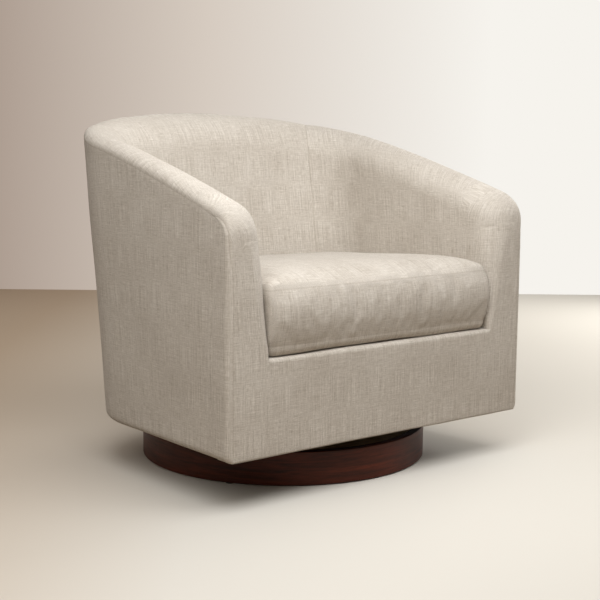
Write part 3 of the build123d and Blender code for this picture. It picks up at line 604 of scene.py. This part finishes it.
def make_front(edge_row, edge_cloth):
    """The front border: across the front rail and arm fronts, over the deck's front edge."""
    arm_part = edge_row[OUTER_ROLL_COLUMNS:]
    arm_run = edge_cloth[OUTER_ROLL_COLUMNS:, 0]
    edge_x = arm_part[-1, 0]
    centre_x = np.linspace(edge_x, -edge_x, CENTRE_COLUMNS + 1)[1:-1]
    x = np.concatenate([arm_part[:, 0], centre_x, -arm_part[::-1, 0]])
    run = np.concatenate([arm_run, centre_x * (arm_run[-1] / edge_x), -arm_run[::-1]])
    in_arm = np.clip((np.abs(x) - INNER["front_half"]) / DECK_INNER_ROLL, 0, 1)
    fold = 1 - np.sqrt(1 - (1 - in_arm) ** 2)
    points = []
    for z in LOW_Z:
        drop = max(0.0, z - (DECK - DECK_EDGE))
        back = DECK_EDGE - math.sqrt(max(DECK_EDGE**2 - drop**2, 0))
        points.append(at_height(np.column_stack([x, FRONT_Y + back * fold]), z))
    points = np.array(points)
    cloth = cloth_of(run, points)
    points[-1, :len(arm_part)] = arm_part
    points[-1, -len(arm_part):] = arm_part[::-1] * (-1, 1, 1)
    patch = Patch()
    patch.grid(points, cloth, flip=True)

    # The bottom edge, from under the frame out to the front
    low = UNDERSIDE - FRONT_LOWER
    wrap = UNDER_WRAP - FRONT_BOTTOM_ROLL
    steps = [(FRONT_BOTTOM_ROLL + d, low) for d in np.linspace(wrap, 0, WRAP_ROWS + 1)[:-1]]
    for a in np.linspace(0, math.pi / 2, ROLL_ROWS):
        steps.append((FRONT_BOTTOM_ROLL * (1 - math.sin(a)), low + FRONT_BOTTOM_ROLL * (1 - math.cos(a))))
    rows = [at_height(points[0, :, :2] + (0, inwards), z) for inwards, z in steps]
    rows = np.array(rows + [points[0]])
    cloth = cloth_of(run, rows)
    cloth[..., 1] -= np.linspace(UNDER_RUN, 0, len(rows))[:, None]
    patch.grid(rows, cloth, flip=True)

    # The strip over the deck's front edge
    centre = slice(len(arm_part) - 1, len(x) - len(arm_part) + 1)
    lap = np.linspace(0, DECK_LAP, 6)[:, None]
    strip = np.repeat(points[-1:, centre], len(lap), 0)
    strip[..., 1] += lap
    cloth = cloth_of(run[centre], strip)
    cloth[..., 1] = DECK + lap
    patch.grid(strip, cloth, flip=True)
    return patch


# ---- filling a closed outline


CUT_POINTS = 200


def cut_line(line, low, high, n):
    """n evenly spaced points of a line, between two lengths along it."""
    at, run = np.linspace(low, high, n), lengths(line)
    return np.column_stack([np.interp(at, run, line[:, k]) for k in range(line.shape[1])])


def resample(line, n):
    """n + 1 evenly spaced points along a line."""
    return cut_line(line, 0, lengths(line)[-1], n + 1)


def other_side(line):
    """A plan line mirrored to the other side, from its end to its start."""
    return line[::-1] * (-1, 1)


def coons(front, right, back, left):
    """A grid between four lines: front and back run to +X, left and right run to +Y."""
    u = np.linspace(0, 1, len(front))[None, :, None]
    v = np.linspace(0, 1, len(left))[:, None, None]
    ruled = front[None] * (1 - v) + back[None] * v + left[:, None] * (1 - u) + right[:, None] * u
    corners = (
        front[0] * (1 - u) * (1 - v) + front[-1] * u * (1 - v) + back[0] * (1 - u) * v + back[-1] * u * v
    )
    return ruled - corners


def four_sides(half, front_mark, back_mark, n_across, n_deep):
    """Four lines round a mirrored outline, cut at two marks along its right half."""
    front_right = cut_line(half, 0, front_mark, CUT_POINTS)
    side = cut_line(half, front_mark, back_mark, CUT_POINTS)
    back_right = cut_line(half, back_mark, lengths(half)[-1], CUT_POINTS)
    front = resample(np.concatenate([other_side(front_right)[:-1], front_right]), n_across)
    back = resample(np.concatenate([back_right, other_side(back_right)[1:]])[::-1], n_across)
    right = resample(side, n_deep)
    return front, right, back, right * (-1, 1)


# ---- materials


def linear(*rgb):
    """A colour given as 0 to 255 on screen, as linear light."""
    parts = [v / 255 for v in rgb]
    return (*[v / 12.92 if v <= 0.04045 else ((v + 0.055) / 1.055) ** 2.4 for v in parts], 1.0)


def new_material(name):
    """A material with its node tree and its Principled shader."""
    material = bpy.data.materials.new(name)
    material.use_nodes = True
    tree = material.node_tree
    return material, tree, tree.nodes["Principled BSDF"]


def connect(tree, target, inputs):
    """Link or set some inputs of a node."""
    for key, value in inputs.items():
        if isinstance(value, bpy.types.NodeSocket):
            tree.links.new(value, target.inputs[key])
        else:
            target.inputs[key].default_value = value


def node(tree, kind, inputs=None, **settings):
    """A shader node with its inputs linked or set."""
    made = tree.nodes.new("ShaderNode" + kind)
    for key, value in settings.items():
        setattr(made, key, value)
    connect(tree, made, inputs or {})
    return made


def maths(tree, operation, a, b=0.0, clamp=False):
    """The result of one sum."""
    return node(tree, "Math", {0: a, 1: b}, operation=operation, use_clamp=clamp).outputs[0]


def weighted(tree, *parts):
    """The sum of some values, each times its weight."""
    total = 0.0
    for value, weight in parts:
        total = node(tree, "Math", {0: value, 1: weight, 2: total}, operation="MULTIPLY_ADD").outputs[0]
    return total


def scaled_noise(tree, source, scale, detail=2.0, distortion=0.0):
    """Noise with a scale for each axis."""
    place = node(tree, "Mapping", {"Vector": source, "Scale": scale}, vector_type="POINT")
    settings = {"Scale": 1.0, "Detail": detail, "Roughness": 0.55, "Distortion": distortion}
    return node(tree, "TexNoise", {"Vector": place.outputs[0], **settings}).outputs[0]


def ramp(tree, factor, *stops):
    """Colours placed along a factor."""
    made = node(tree, "ValToRGB", {"Fac": factor})
    elements = made.color_ramp.elements
    while len(elements) < len(stops):
        elements.new(0.5)
    for element, (place, colour) in zip(elements, stops):
        element.position = place
        element.color = colour
    return made.outputs["Color"]


def mix(tree, kind, factor, a, b):
    """Two colours mixed."""
    made = node(tree, "Mix", data_type="RGBA", blend_type=kind)
    sockets = [i for i, socket in enumerate(made.inputs) if socket.enabled]
    connect(tree, made, dict(zip(sockets, (factor, a, b))))
    return [socket for socket in made.outputs if socket.enabled][0]


WHITE = (1.0, 1.0, 1.0, 1.0)
THREAD = 0.0017              # width of one bump of the weave
SEAM_SHADE = 0.0020          # how far from a seam painted shade darkens the cloth


def make_linen():
    """Woven linen with thick and thin threads both ways, with painted shade darkening the seams."""
    material, tree, shader = new_material("linen")
    cloth = node(tree, "Attribute", attribute_name="cloth").outputs["Vector"]
    seam = node(tree, "Attribute", attribute_name="seam").outputs["Fac"]
    warp = scaled_noise(tree, cloth, (620, 13, 1))
    weft = scaled_noise(tree, cloth, (21, 700, 1))
    warp_fine = scaled_noise(tree, cloth, (1500, 90, 1), 1.0)
    weft_fine = scaled_noise(tree, cloth, (90, 1500, 1), 1.0)
    cloudy = scaled_noise(tree, cloth, (7, 7, 1))
    total = weighted(tree, (warp, 0.30), (weft, 0.22), (warp_fine, 0.24), (weft_fine, 0.24))
    colour = ramp(
        tree, total,
        (0.36, linear(169, 158, 144)), (0.46, linear(196, 188, 177)),
        (0.54, linear(213, 206, 196)), (0.64, linear(232, 227, 219)),
    )
    colour = mix(tree, "MULTIPLY", 0.5, colour, ramp(
        tree, cloudy, (0.3, linear(232, 229, 226)), (0.7, WHITE)))
    # Painted shade: the cloth's colour darkens towards each seam, standing in for the shade in the seam's
    # groove.
    near = maths(tree, "SUBTRACT", 1.0, maths(tree, "DIVIDE", seam, SEAM_SHADE), clamp=True)
    colour = mix(tree, "MULTIPLY", maths(tree, "MULTIPLY", near, 0.3), colour, linear(190, 178, 164))
    split = node(tree, "SeparateXYZ", {0: cloth})
    across, along = [
        maths(tree, "SINE", maths(tree, "MULTIPLY", split.outputs[k], 2 * math.pi / THREAD)) for k in range(2)
    ]
    weave = maths(tree, "MULTIPLY", across, along)
    height = weighted(tree, (weave, 0.22), (total, 2.6))
    bump = node(tree, "Bump", {"Strength": 0.55, "Distance": 0.0011, "Height": height})
    connect(tree, shader, {
        "Base Color": colour, "Normal": bump.outputs[0], "Roughness": 0.92, "Specular IOR Level": 0.22,
        "Sheen Weight": 0.22, "Sheen Roughness": 0.45,
    })
    return material


def make_wood(name, dark, light, scales, roughness, shine=0.5):
    """Wood with its grain along the axes whose scales are small."""
    material, tree, shader = new_material(name)
    place = node(tree, "TexCoord").outputs["Object"]
    wander = scaled_noise(tree, place, (6, 6, 10))
    grain = scaled_noise(tree, place, scales, 5.0, 0.6)
    pores = scaled_noise(tree, place, tuple(4 * v for v in scales))
    figure = weighted(tree, (grain, 0.75), (wander, 0.25))
    middle = tuple((a + b) / 2 for a, b in zip(dark, light))
    colour = ramp(tree, figure, (0.34, dark), (0.5, middle), (0.66, light))
    colour = mix(tree, "MULTIPLY", 0.35, colour, ramp(
        tree, pores, (0.38, linear(120, 110, 105)), (0.5, WHITE)))
    bump = node(tree, "Bump", {"Strength": 0.12, "Distance": 0.0004, "Height": pores})
    connect(tree, shader, {
        "Base Color": colour, "Normal": bump.outputs[0], "Roughness": roughness, "Specular IOR Level": shine,
    })
    return material


def make_surface(name, colour, roughness, metallic, grain, depth=0.0003):
    """A surface whose colour and roughness vary a little."""
    material, tree, shader = new_material(name)
    place = node(tree, "TexCoord").outputs["Object"]
    patches = scaled_noise(tree, place, (9, 9, 9), 3.0)
    fine = scaled_noise(tree, place, grain, 3.0)
    low, high = [(*[min(v * share, 1.0) for v in colour[:3]], 1.0) for share in (0.88, 1.12)]
    shade = weighted(tree, (patches, 0.5), (fine, 0.5))
    bump = node(tree, "Bump", {"Strength": 0.3, "Distance": depth, "Height": fine})
    connect(tree, shader, {
        "Base Color": ramp(tree, shade, (0.35, low), (0.65, high)), "Normal": bump.outputs[0],
        "Roughness": weighted(tree, (fine, 0.16), (1.0, roughness - 0.08)),
        "Metallic": metallic,
    })
    return material


LINEN = make_linen()
SURFACES = {
    "black_cambric": (linear(34, 33, 33), 0.9, 0.0, (900, 900, 900)),
    "black_plastic": (linear(30, 30, 31), 0.5, 0.0, (400, 400, 400)),
    "pressed_steel": (linear(148, 149, 150), 0.38, 1.0, (40, 300, 300)),
    "bearing_steel": (linear(196, 197, 199), 0.16, 1.0, (80, 80, 80), 0.0001),
    "spring_steel": (linear(92, 88, 84), 0.42, 1.0, (300, 40, 300)),
    "foam": (linear(232, 220, 186), 0.95, 0.0, (500, 500, 500)),
    "batting": (linear(238, 238, 234), 0.95, 0.0, (260, 260, 260), 0.002),
    "zip_tape": (linear(178, 162, 140), 0.85, 0.0, (900, 900, 900)),
    "zip_metal": (linear(150, 138, 118), 0.35, 1.0, (200, 200, 200)),
}
WOODS = {
    "walnut_veneer": (linear(54, 23, 13), linear(92, 40, 24), (9, 9, 150), 0.46, 0.22),
    "birch_plywood": (linear(176, 140, 96), linear(222, 192, 148), (10, 90, 90), 0.6),
    "softwood": (linear(186, 148, 98), linear(226, 196, 150), (90, 90, 8), 0.65),
}
FINISHES = {name: make_surface(name, *settings) for name, settings in SURFACES.items()}
FINISHES.update({name: make_wood(name, *settings) for name, settings in WOODS.items()})
SLOT_OF = {part["node"]: part["material_slot"] for part in frame["record"]["subparts"]}
for name, obj in frame["nodes"].items():
    obj.data.materials.clear()
    obj.data.materials.append(FINISHES.get(SLOT_OF.get(name), LINEN))


# ---- covers as pieces

BODY_WAVE = 0.0007

outer, rim = make_outer_side()
inside, edge_row, edge_cloth = make_inside_arm()
outer_back, inside_back, corner_seam = make_back()
top_seam = np.concatenate([rim, [band[0][0] for band in BANDS[NOSE_PAST:]]])
back_seam = np.array([band[0][0] for band in BACK_BANDS])
seams = [top_seam, back_seam, corner_seam]
seams += [line * (-1, 1, 1) for line in seams]
COVERS = (
    ("outer_side_right", outer, ("outer_cover_right", "arm_outer_padding_right")),
    ("outer_side_left", outer.mirrored(), ("outer_cover_left", "arm_outer_padding_left")),
    ("outer_back", outer_back.doubled(), ("outer_cover_back", "back_outer_padding")),
    ("inside_arm_right", inside, ("inside_arm_cover_right", "arm_pad_right")),
    ("inside_arm_left", inside.mirrored(), ("inside_arm_cover_left", "arm_pad_left")),
    ("inside_back", inside_back.doubled(), ("inside_back_cover", "back_pad")),
    ("front_band", make_front(edge_row, edge_cloth), ("front_border", "front_padding")),
)
for name, patch, replaced in COVERS:
    data = patch.mesh(name)
    dress(data, seams, BODY_WAVE, seed=2)
    piece = cloth_piece(name, data, "seat", LINEN, replaced)
    finish_cover(piece)


# ---- deck and dust cloth

DECK_FRONT = FRONT_Y + 0.012
DECK_DROP = 0.0020
DECK_BACK_SHARE = 0.62       # how far round the sides the deck grid's back corners lie
DUST_INSET = 0.014
DUST_HOLE = 0.112            # half the side of the square hole for the mounting board
DUST_LOWER = 0.0016
DUST_SAG = 0.0022
FRONT_POINTS = 40
DECK_GRID = (44, 40)
RING_POINTS = 160
RINGS = 13


def flat_half(o, z, inset, start):
    """The right half of an outline at a height, from the front's middle round to the back's."""
    line = outline(o, np.linspace(0, 3, 400), z, inset)
    line = line[line[:, 1] >= start]
    line[-1, 0] = 0.0
    front = np.column_stack([np.linspace(0, line[0, 0], FRONT_POINTS), np.full(FRONT_POINTS, start)])
    return np.concatenate([front, line])


def sheet_piece(name, points, material, replaced):
    """A thin stretched cloth from a grid of points, with its flat size."""
    patch = Patch()
    patch.grid(points, points[..., :2])
    data = patch.mesh(name)
    store(data, "seam", np.full(len(data.vertices), FAR))
    piece = cloth_piece(name, data, "seat", material, replaced)


def deck_grid():
    """The deck between the arms, the back and the front border."""
    half = flat_half(INNER, DECK, 0.0, DECK_FRONT)
    run = lengths(half)
    front_mark = run[FRONT_POINTS - 1]
    back_mark = between(front_mark, run[-1], DECK_BACK_SHARE)
    return at_height(coons(*four_sides(half, front_mark, back_mark, *DECK_GRID)), DECK - DECK_DROP)


def dust_grid():
    """Rings from the frame's underside in to the square hole."""
    half = flat_half(OUTER, UNDERSIDE + BOTTOM_ROLL, DUST_INSET, FRONT_Y + DUST_INSET)
    ring = np.concatenate([half, other_side(half)[1:-1]])
    ring = resample(np.concatenate([ring, ring[:1]]), RING_POINTS)
    square = ring * (DUST_HOLE / np.abs(ring).max(1))[:, None]
    shares = np.linspace(0, 1, RINGS)[:, None]
    z = UNDERSIDE - DUST_LOWER - DUST_SAG * np.sin(math.pi * shares)
    return at_height(between(ring, square, shares[..., None]), z)


sheet_piece("deck_cloth", deck_grid(), LINEN, ["deck_cover", "deck_pad"])
sheet_piece(
    "dust_cloth", dust_grid(), FINISHES["black_cambric"], ["dust_cover"]
)


# ---- cushion

CUSHION_HALF = 0.2790
CUSHION_FRONT = -0.308
SET_BACK = 0.002
FRONT_CORNER = 0.016
REAR_CORNER = 0.120
CUSHION_BACK = 0.204
CUSHION_BOW = 0.700
LOW_SEAM = 0.286
TOP_SEAM = 0.386
CUSHION_FALL = 0.034         # how much lower the top seam lies at the back
CUSHION_CROWN = 0.034
CROWN_REACH = 0.150
CUSHION_BULGE = 0.008
BACK_BULGE = 0.0035          # less at the back, so that the zip lies on the cover
ZIP_STRETCH = (0.060, 0.140)
CUSHION_LOW = DECK + 0.0006
LOW_BAND = LOW_SEAM + 0.002  # below this the simulation moves nothing
UNDER_ROLL = 0.016           # how far the foot is drawn in at its edge
UNDER_REACH = 0.10           # how far in from the edge it is drawn in at all
CUSHION_MIDDLE = (0.0, -0.05)
CUSHION_GRID = (60, 52)
BOXING_ROWS = 15
REAR_PART = 0.30             # length of the outline that counts as the back in the top's grid
LINE_POINTS = 60
CORNER_POINTS = 30
SIM_FRAMES = 20
SIM_SETTINGS = dict(
    quality=6, mass=0.3, tension_stiffness=12, compression_stiffness=12, shear_stiffness=8,
    bending_stiffness=0.6, use_pressure=True, uniform_pressure_force=4.0, shrink_min=-0.018,
    vertex_group_mass="held",
)
SIM_CAP = 0.004              # the most that the simulation may move a point
SEAM_HOLD = 0.0004
SIDE_LIMIT = 0.2795          # the cushion stays between the arms
CUSHION_WAVE = 0.0012


def top_seam_z(y):
    """Height of the cushion's top seam, which falls towards the back."""
    return TOP_SEAM - CUSHION_FALL * (y - CUSHION_FRONT) / (CUSHION_BACK - CUSHION_FRONT)


def arc(x, y, radius, start, end, n):
    """n points of an arc in plan."""
    a = np.linspace(start, end, n)
    return np.column_stack([x + radius * np.cos(a), y + radius * np.sin(a)])


def cushion_half():
    """The right half of the cushion's outline, from the front's middle round to the back's, and
    the length along it of the front corner's middle."""
    reach = CUSHION_HALF - FRONT_CORNER
    x = np.linspace(0, reach, LINE_POINTS)
    front = np.column_stack([x, CUSHION_FRONT + SET_BACK * (x / reach) ** 2])
    corner_y = CUSHION_FRONT + SET_BACK + FRONT_CORNER
    corner = arc(reach, corner_y, FRONT_CORNER, -math.pi / 2, 0, CORNER_POINTS)
    bow_y = CUSHION_BACK - CUSHION_BOW
    cx = CUSHION_HALF - REAR_CORNER
    cy = bow_y + math.sqrt((CUSHION_BOW - REAR_CORNER) ** 2 - cx**2)
    turn = math.atan2(cy - bow_y, cx)
    rear = arc(cx, cy, REAR_CORNER, 0, turn, LINE_POINTS)
    back = arc(0.0, bow_y, CUSHION_BOW, turn, math.pi / 2, LINE_POINTS)
    back[-1, 0] = 0.0
    half = np.concatenate([front, corner[1:], rear, back[1:]])
    return half, lengths(half)[LINE_POINTS + CORNER_POINTS // 2 - 1]


def rim_of(grid):
    """Indices round a grid's edge: front, right, back, left."""
    at = np.stack(np.indices(grid.shape[:2]), -1)
    return tuple(np.concatenate([at[0], at[1:, -1], at[-1, -2::-1], at[-2:0:-1, 0]]).T)


def distance_inside(points, line):
    """Distance in plan from each point to a line."""
    a, ab = line[:-1], np.diff(line, axis=0)
    to_point = points[:, None] - a[None]
    f = np.clip((to_point * ab[None]).sum(-1) / np.maximum((ab * ab).sum(-1), 1e-12)[None], 0, 1)
    return np.linalg.norm(to_point - f[..., None] * ab[None], axis=-1).min(1)


def make_cushion():
    """The cushion's cover: crowned top, boxing with a seam above and below, and the foot."""
    half, front_mark = cushion_half()
    rear_mark = lengths(half)[-1] - REAR_PART
    grid = coons(*four_sides(half, front_mark, rear_mark, *CUSHION_GRID))
    rim = rim_of(grid)
    away = distance_inside(grid.reshape(-1, 2), np.concatenate([half, other_side(half)[1:]]))
    away = away.reshape(grid.shape[:2])
    top_z = top_seam_z(grid[..., 1])
    crowned = top_z + CUSHION_CROWN * np.sqrt(1 - (1 - np.clip(away / CROWN_REACH, 0, 1)) ** 2)
    crowned[rim] = top_z[rim]
    patch = Patch()
    patch.grid(at_height(grid, crowned), grid)

    # The boxing between the seams, then the roll under it
    ring = grid[rim]
    step = np.roll(ring, -1, 0) - np.roll(ring, 1, 0)
    normal = np.column_stack([step[:, 1], -step[:, 0]])
    normal /= np.linalg.norm(normal, axis=1)[:, None]
    ring, normal = np.concatenate([ring, ring[:1]]), np.concatenate([normal, normal[:1]])
    seam_z = top_seam_z(ring[:, 1])
    at_back = smooth((ring[:, 1] - ZIP_STRETCH[0]) / (ZIP_STRETCH[1] - ZIP_STRETCH[0]))
    bulge = between(CUSHION_BULGE, BACK_BULGE, at_back)[:, None]
    rows = [
        at_height(ring + normal * bulge * 4 * f * (1 - f), between(seam_z, LOW_SEAM, f))
        for f in np.linspace(0, 1, BOXING_ROWS)
    ]
    for a in np.linspace(0, math.pi / 2, ROLL_ROWS)[1:]:
        z = LOW_SEAM - (LOW_SEAM - CUSHION_LOW) * math.sin(a)
        rows.append(at_height(ring - normal * UNDER_ROLL * (1 - math.cos(a)), z))
    rows = np.array(rows)
    patch.grid(rows, cloth_of(lengths(ring), rows), flip=True)

    # The foot's grid, drawn in towards the middle where it meets the roll
    inwards = CUSHION_MIDDLE - grid
    inwards /= np.linalg.norm(inwards + 1e-9, axis=-1)[..., None]
    foot = grid + inwards * (UNDER_ROLL * np.clip(1 - away / UNDER_REACH, 0, 1))[..., None]
    foot[rim] = rows[-1, :-1, :2]
    patch.grid(at_height(foot, CUSHION_LOW), foot, flip=True)
    return patch.mesh("seat_cushion"), [at_height(ring, seam_z), at_height(ring, LOW_SEAM)]


def puff(piece):
    """Blow the cover up a little under cloth simulation, with the seams, the foot and the
    zip's stretch held."""
    data = piece.data
    points = read_vectors(data.vertices, "co")
    above_seam = points[:, 2] - top_seam_z(points[:, 1])
    at_zip = (above_seam < 0) & (points[:, 1] > ZIP_STRETCH[1])
    held = (points[:, 2] < LOW_BAND) | at_zip | (np.abs(above_seam) < SEAM_HOLD)
    group = piece.vertex_groups.new(name="held")
    group.add([int(i) for i in np.where(held)[0]], 1.0, "REPLACE")
    sim = piece.modifiers.new("sim", "CLOTH")
    for key, value in SIM_SETTINGS.items():
        setattr(sim.settings, key, value)
    sim.settings.effector_weights.gravity = 0.0
    scene.frame_start, scene.frame_end = 1, SIM_FRAMES
    sim.point_cache.frame_start, sim.point_cache.frame_end = 1, SIM_FRAMES
    for f in range(1, SIM_FRAMES + 1):
        scene.frame_set(f)
    shown = piece.evaluated_get(bpy.context.evaluated_depsgraph_get())
    move = read_vectors(shown.to_mesh().vertices, "co") - points
    shown.to_mesh_clear()
    piece.modifiers.remove(sim)
    piece.vertex_groups.remove(group)
    scene.frame_set(1)
    far = np.linalg.norm(move, axis=1)
    move *= (np.tanh(far / SIM_CAP) * SIM_CAP / np.maximum(far, 1e-9))[:, None]
    write_points(data, points + move)


data, cushion_seams = make_cushion()
cushion = cloth_piece(
    "seat_cushion", data, "cushion", LINEN, ["cushion_cover", "cushion_core"]
)
puff(cushion)
finish_cover(cushion)
dress(data, cushion_seams, CUSHION_WAVE, seed=11)
points = read_vectors(data.vertices, "co")
points[:, 0] = np.clip(points[:, 0], -SIDE_LIMIT, SIDE_LIMIT)
write_points(data, points)


# ---- floor, backdrop, light, camera

CAMERA_PLACE = Vector((-1.7292, -2.1284, 0.6928))
YAW, PITCH, ROLL = math.radians(39.761), math.radians(7.873), math.radians(0.564)
LENS = 80.8
FLOOR_SIZE = 16.0
WALL_SIZE = 8.0
WALL_AWAY = 5.24
GLOW_WIDTH = 2.4             # how much of the wall its change of colour takes


def make_floor():
    """A pale warm floor with painted shade that makes it darker at the left, which throws less light up at
    the chair than it shows.
    """
    material, tree, shader = new_material("floor")
    place = node(tree, "TexCoord").outputs["Object"]
    seen = ramp(
        tree, scaled_noise(tree, place, (0.6, 0.6, 0.6), 1.0),
        (0.3, linear(210, 206, 198)), (0.7, linear(217, 213, 205)),
    )
    split = node(tree, "SeparateXYZ", {0: place})
    to_right = weighted(tree, (split.outputs[0], math.cos(YAW)), (split.outputs[1], -math.sin(YAW)))
    # Painted shade: the floor's colour grows darker and warmer towards the left of the view.
    painted_floor_shade = ramp(
        tree, maths(tree, "ADD", to_right, 1.0, clamp=True),
        (0.15, linear(235, 218, 201)), (0.85, WHITE),
    )
    seen = mix(tree, "MULTIPLY", 1.0, seen, painted_floor_shade)
    path = node(tree, "LightPath").outputs
    direct = maths(tree, "MAXIMUM", path["Is Camera Ray"], path["Is Glossy Ray"])
    direct = maths(tree, "MAXIMUM", direct, path["Is Transmission Ray"])
    connect(tree, shader, {
        "Base Color": mix(tree, "MIX", direct, linear(150, 138, 122), seen),
        "Roughness": 0.9, "Specular IOR Level": 0.1,
    })
    return material


def make_glow():
    """The backdrop's own even light, warmer and darker at the left."""
    material, tree, shader = new_material("backdrop")
    place = node(tree, "SeparateXYZ", {0: node(tree, "TexCoord").outputs["Object"]})
    across = maths(tree, "ADD", maths(tree, "DIVIDE", place.outputs[0], GLOW_WIDTH), 0.5, clamp=True)
    glow = ramp(
        tree, across,
        (0.0, linear(172, 156, 144)), (0.35, linear(214, 203, 192)), (0.8, linear(246, 243, 237)),
    )
    light = node(tree, "Emission", {"Color": glow, "Strength": 1.0})
    tree.links.new(light.outputs[0], tree.nodes["Material Output"].inputs["Surface"])
    tree.nodes.remove(shader)
    return material


def plane(name, size, material):
    """A flat square stage piece."""
    data = bpy.data.meshes.new(name)
    h = size / 2
    data.from_pydata([(-h, -h, 0), (h, -h, 0), (h, h, 0), (-h, h, 0)], [], [(0, 1, 2, 3)])
    data.materials.append(material)
    made = link(name, data)
    return made


plane("floor", FLOOR_SIZE, make_floor())
backdrop = plane("backdrop", WALL_SIZE, make_glow())
ahead = Vector((math.sin(YAW), math.cos(YAW), 0))
backdrop.location = Vector((CAMERA_PLACE.x, CAMERA_PLACE.y, WALL_SIZE / 2)) + ahead * WALL_AWAY
backdrop.rotation_euler = (math.pi / 2, 0, -YAW)

world = bpy.data.worlds.new("studio")
scene.world = world
world.use_nodes = True
background = world.node_tree.nodes["Background"]
connect(world.node_tree, background, {"Color": linear(240, 226, 208), "Strength": 0.24})

LIGHTS = (                   # name, place, aim, size, power, colour
    ("top", (-0.25, -0.75, 1.5), (-0.1, -0.1, 0.3), (1.9, 1.1), 24, (0.98, 0.99, 1.0)),
    ("side", (2.4, 0.2, 1.0), (0.0, 0.0, 0.2), (1.4, 1.4), 27, (1.0, 0.985, 0.96)),
    ("fill", (-1.7, -1.2, 1.5), (-0.1, 0.0, 0.6), (1.2, 1.2), 13, (1.0, 0.965, 0.92)),
)
for name, place, aim, size, power, colour in LIGHTS:
    data = bpy.data.lights.new(name, "AREA")
    data.shape = "RECTANGLE"
    data.size, data.size_y = size
    data.energy = power
    data.color = colour
    lamp = link(name, data)
    lamp.location = place
    lamp.rotation_euler = (Vector(aim) - Vector(place)).to_track_quat("-Z", "Y").to_euler()

camera_data = bpy.data.cameras.new("camera")
camera_data.lens = LENS
camera_data.sensor_width = 36.0
camera_data.clip_end = 60.0
camera = link("camera", camera_data)
forward = Vector((math.sin(YAW) * math.cos(PITCH), math.cos(YAW) * math.cos(PITCH), -math.sin(PITCH)))
right = Vector((math.cos(YAW), -math.sin(YAW), 0))
up = right.cross(forward)
axes = (right * math.cos(ROLL) + up * math.sin(ROLL), up * math.cos(ROLL) - right * math.sin(ROLL), -forward)
camera.matrix_world = Matrix.Translation(CAMERA_PLACE) @ Matrix(axes).transposed().to_4x4()
scene.camera = camera
scene.view_settings.view_transform = "Standard"
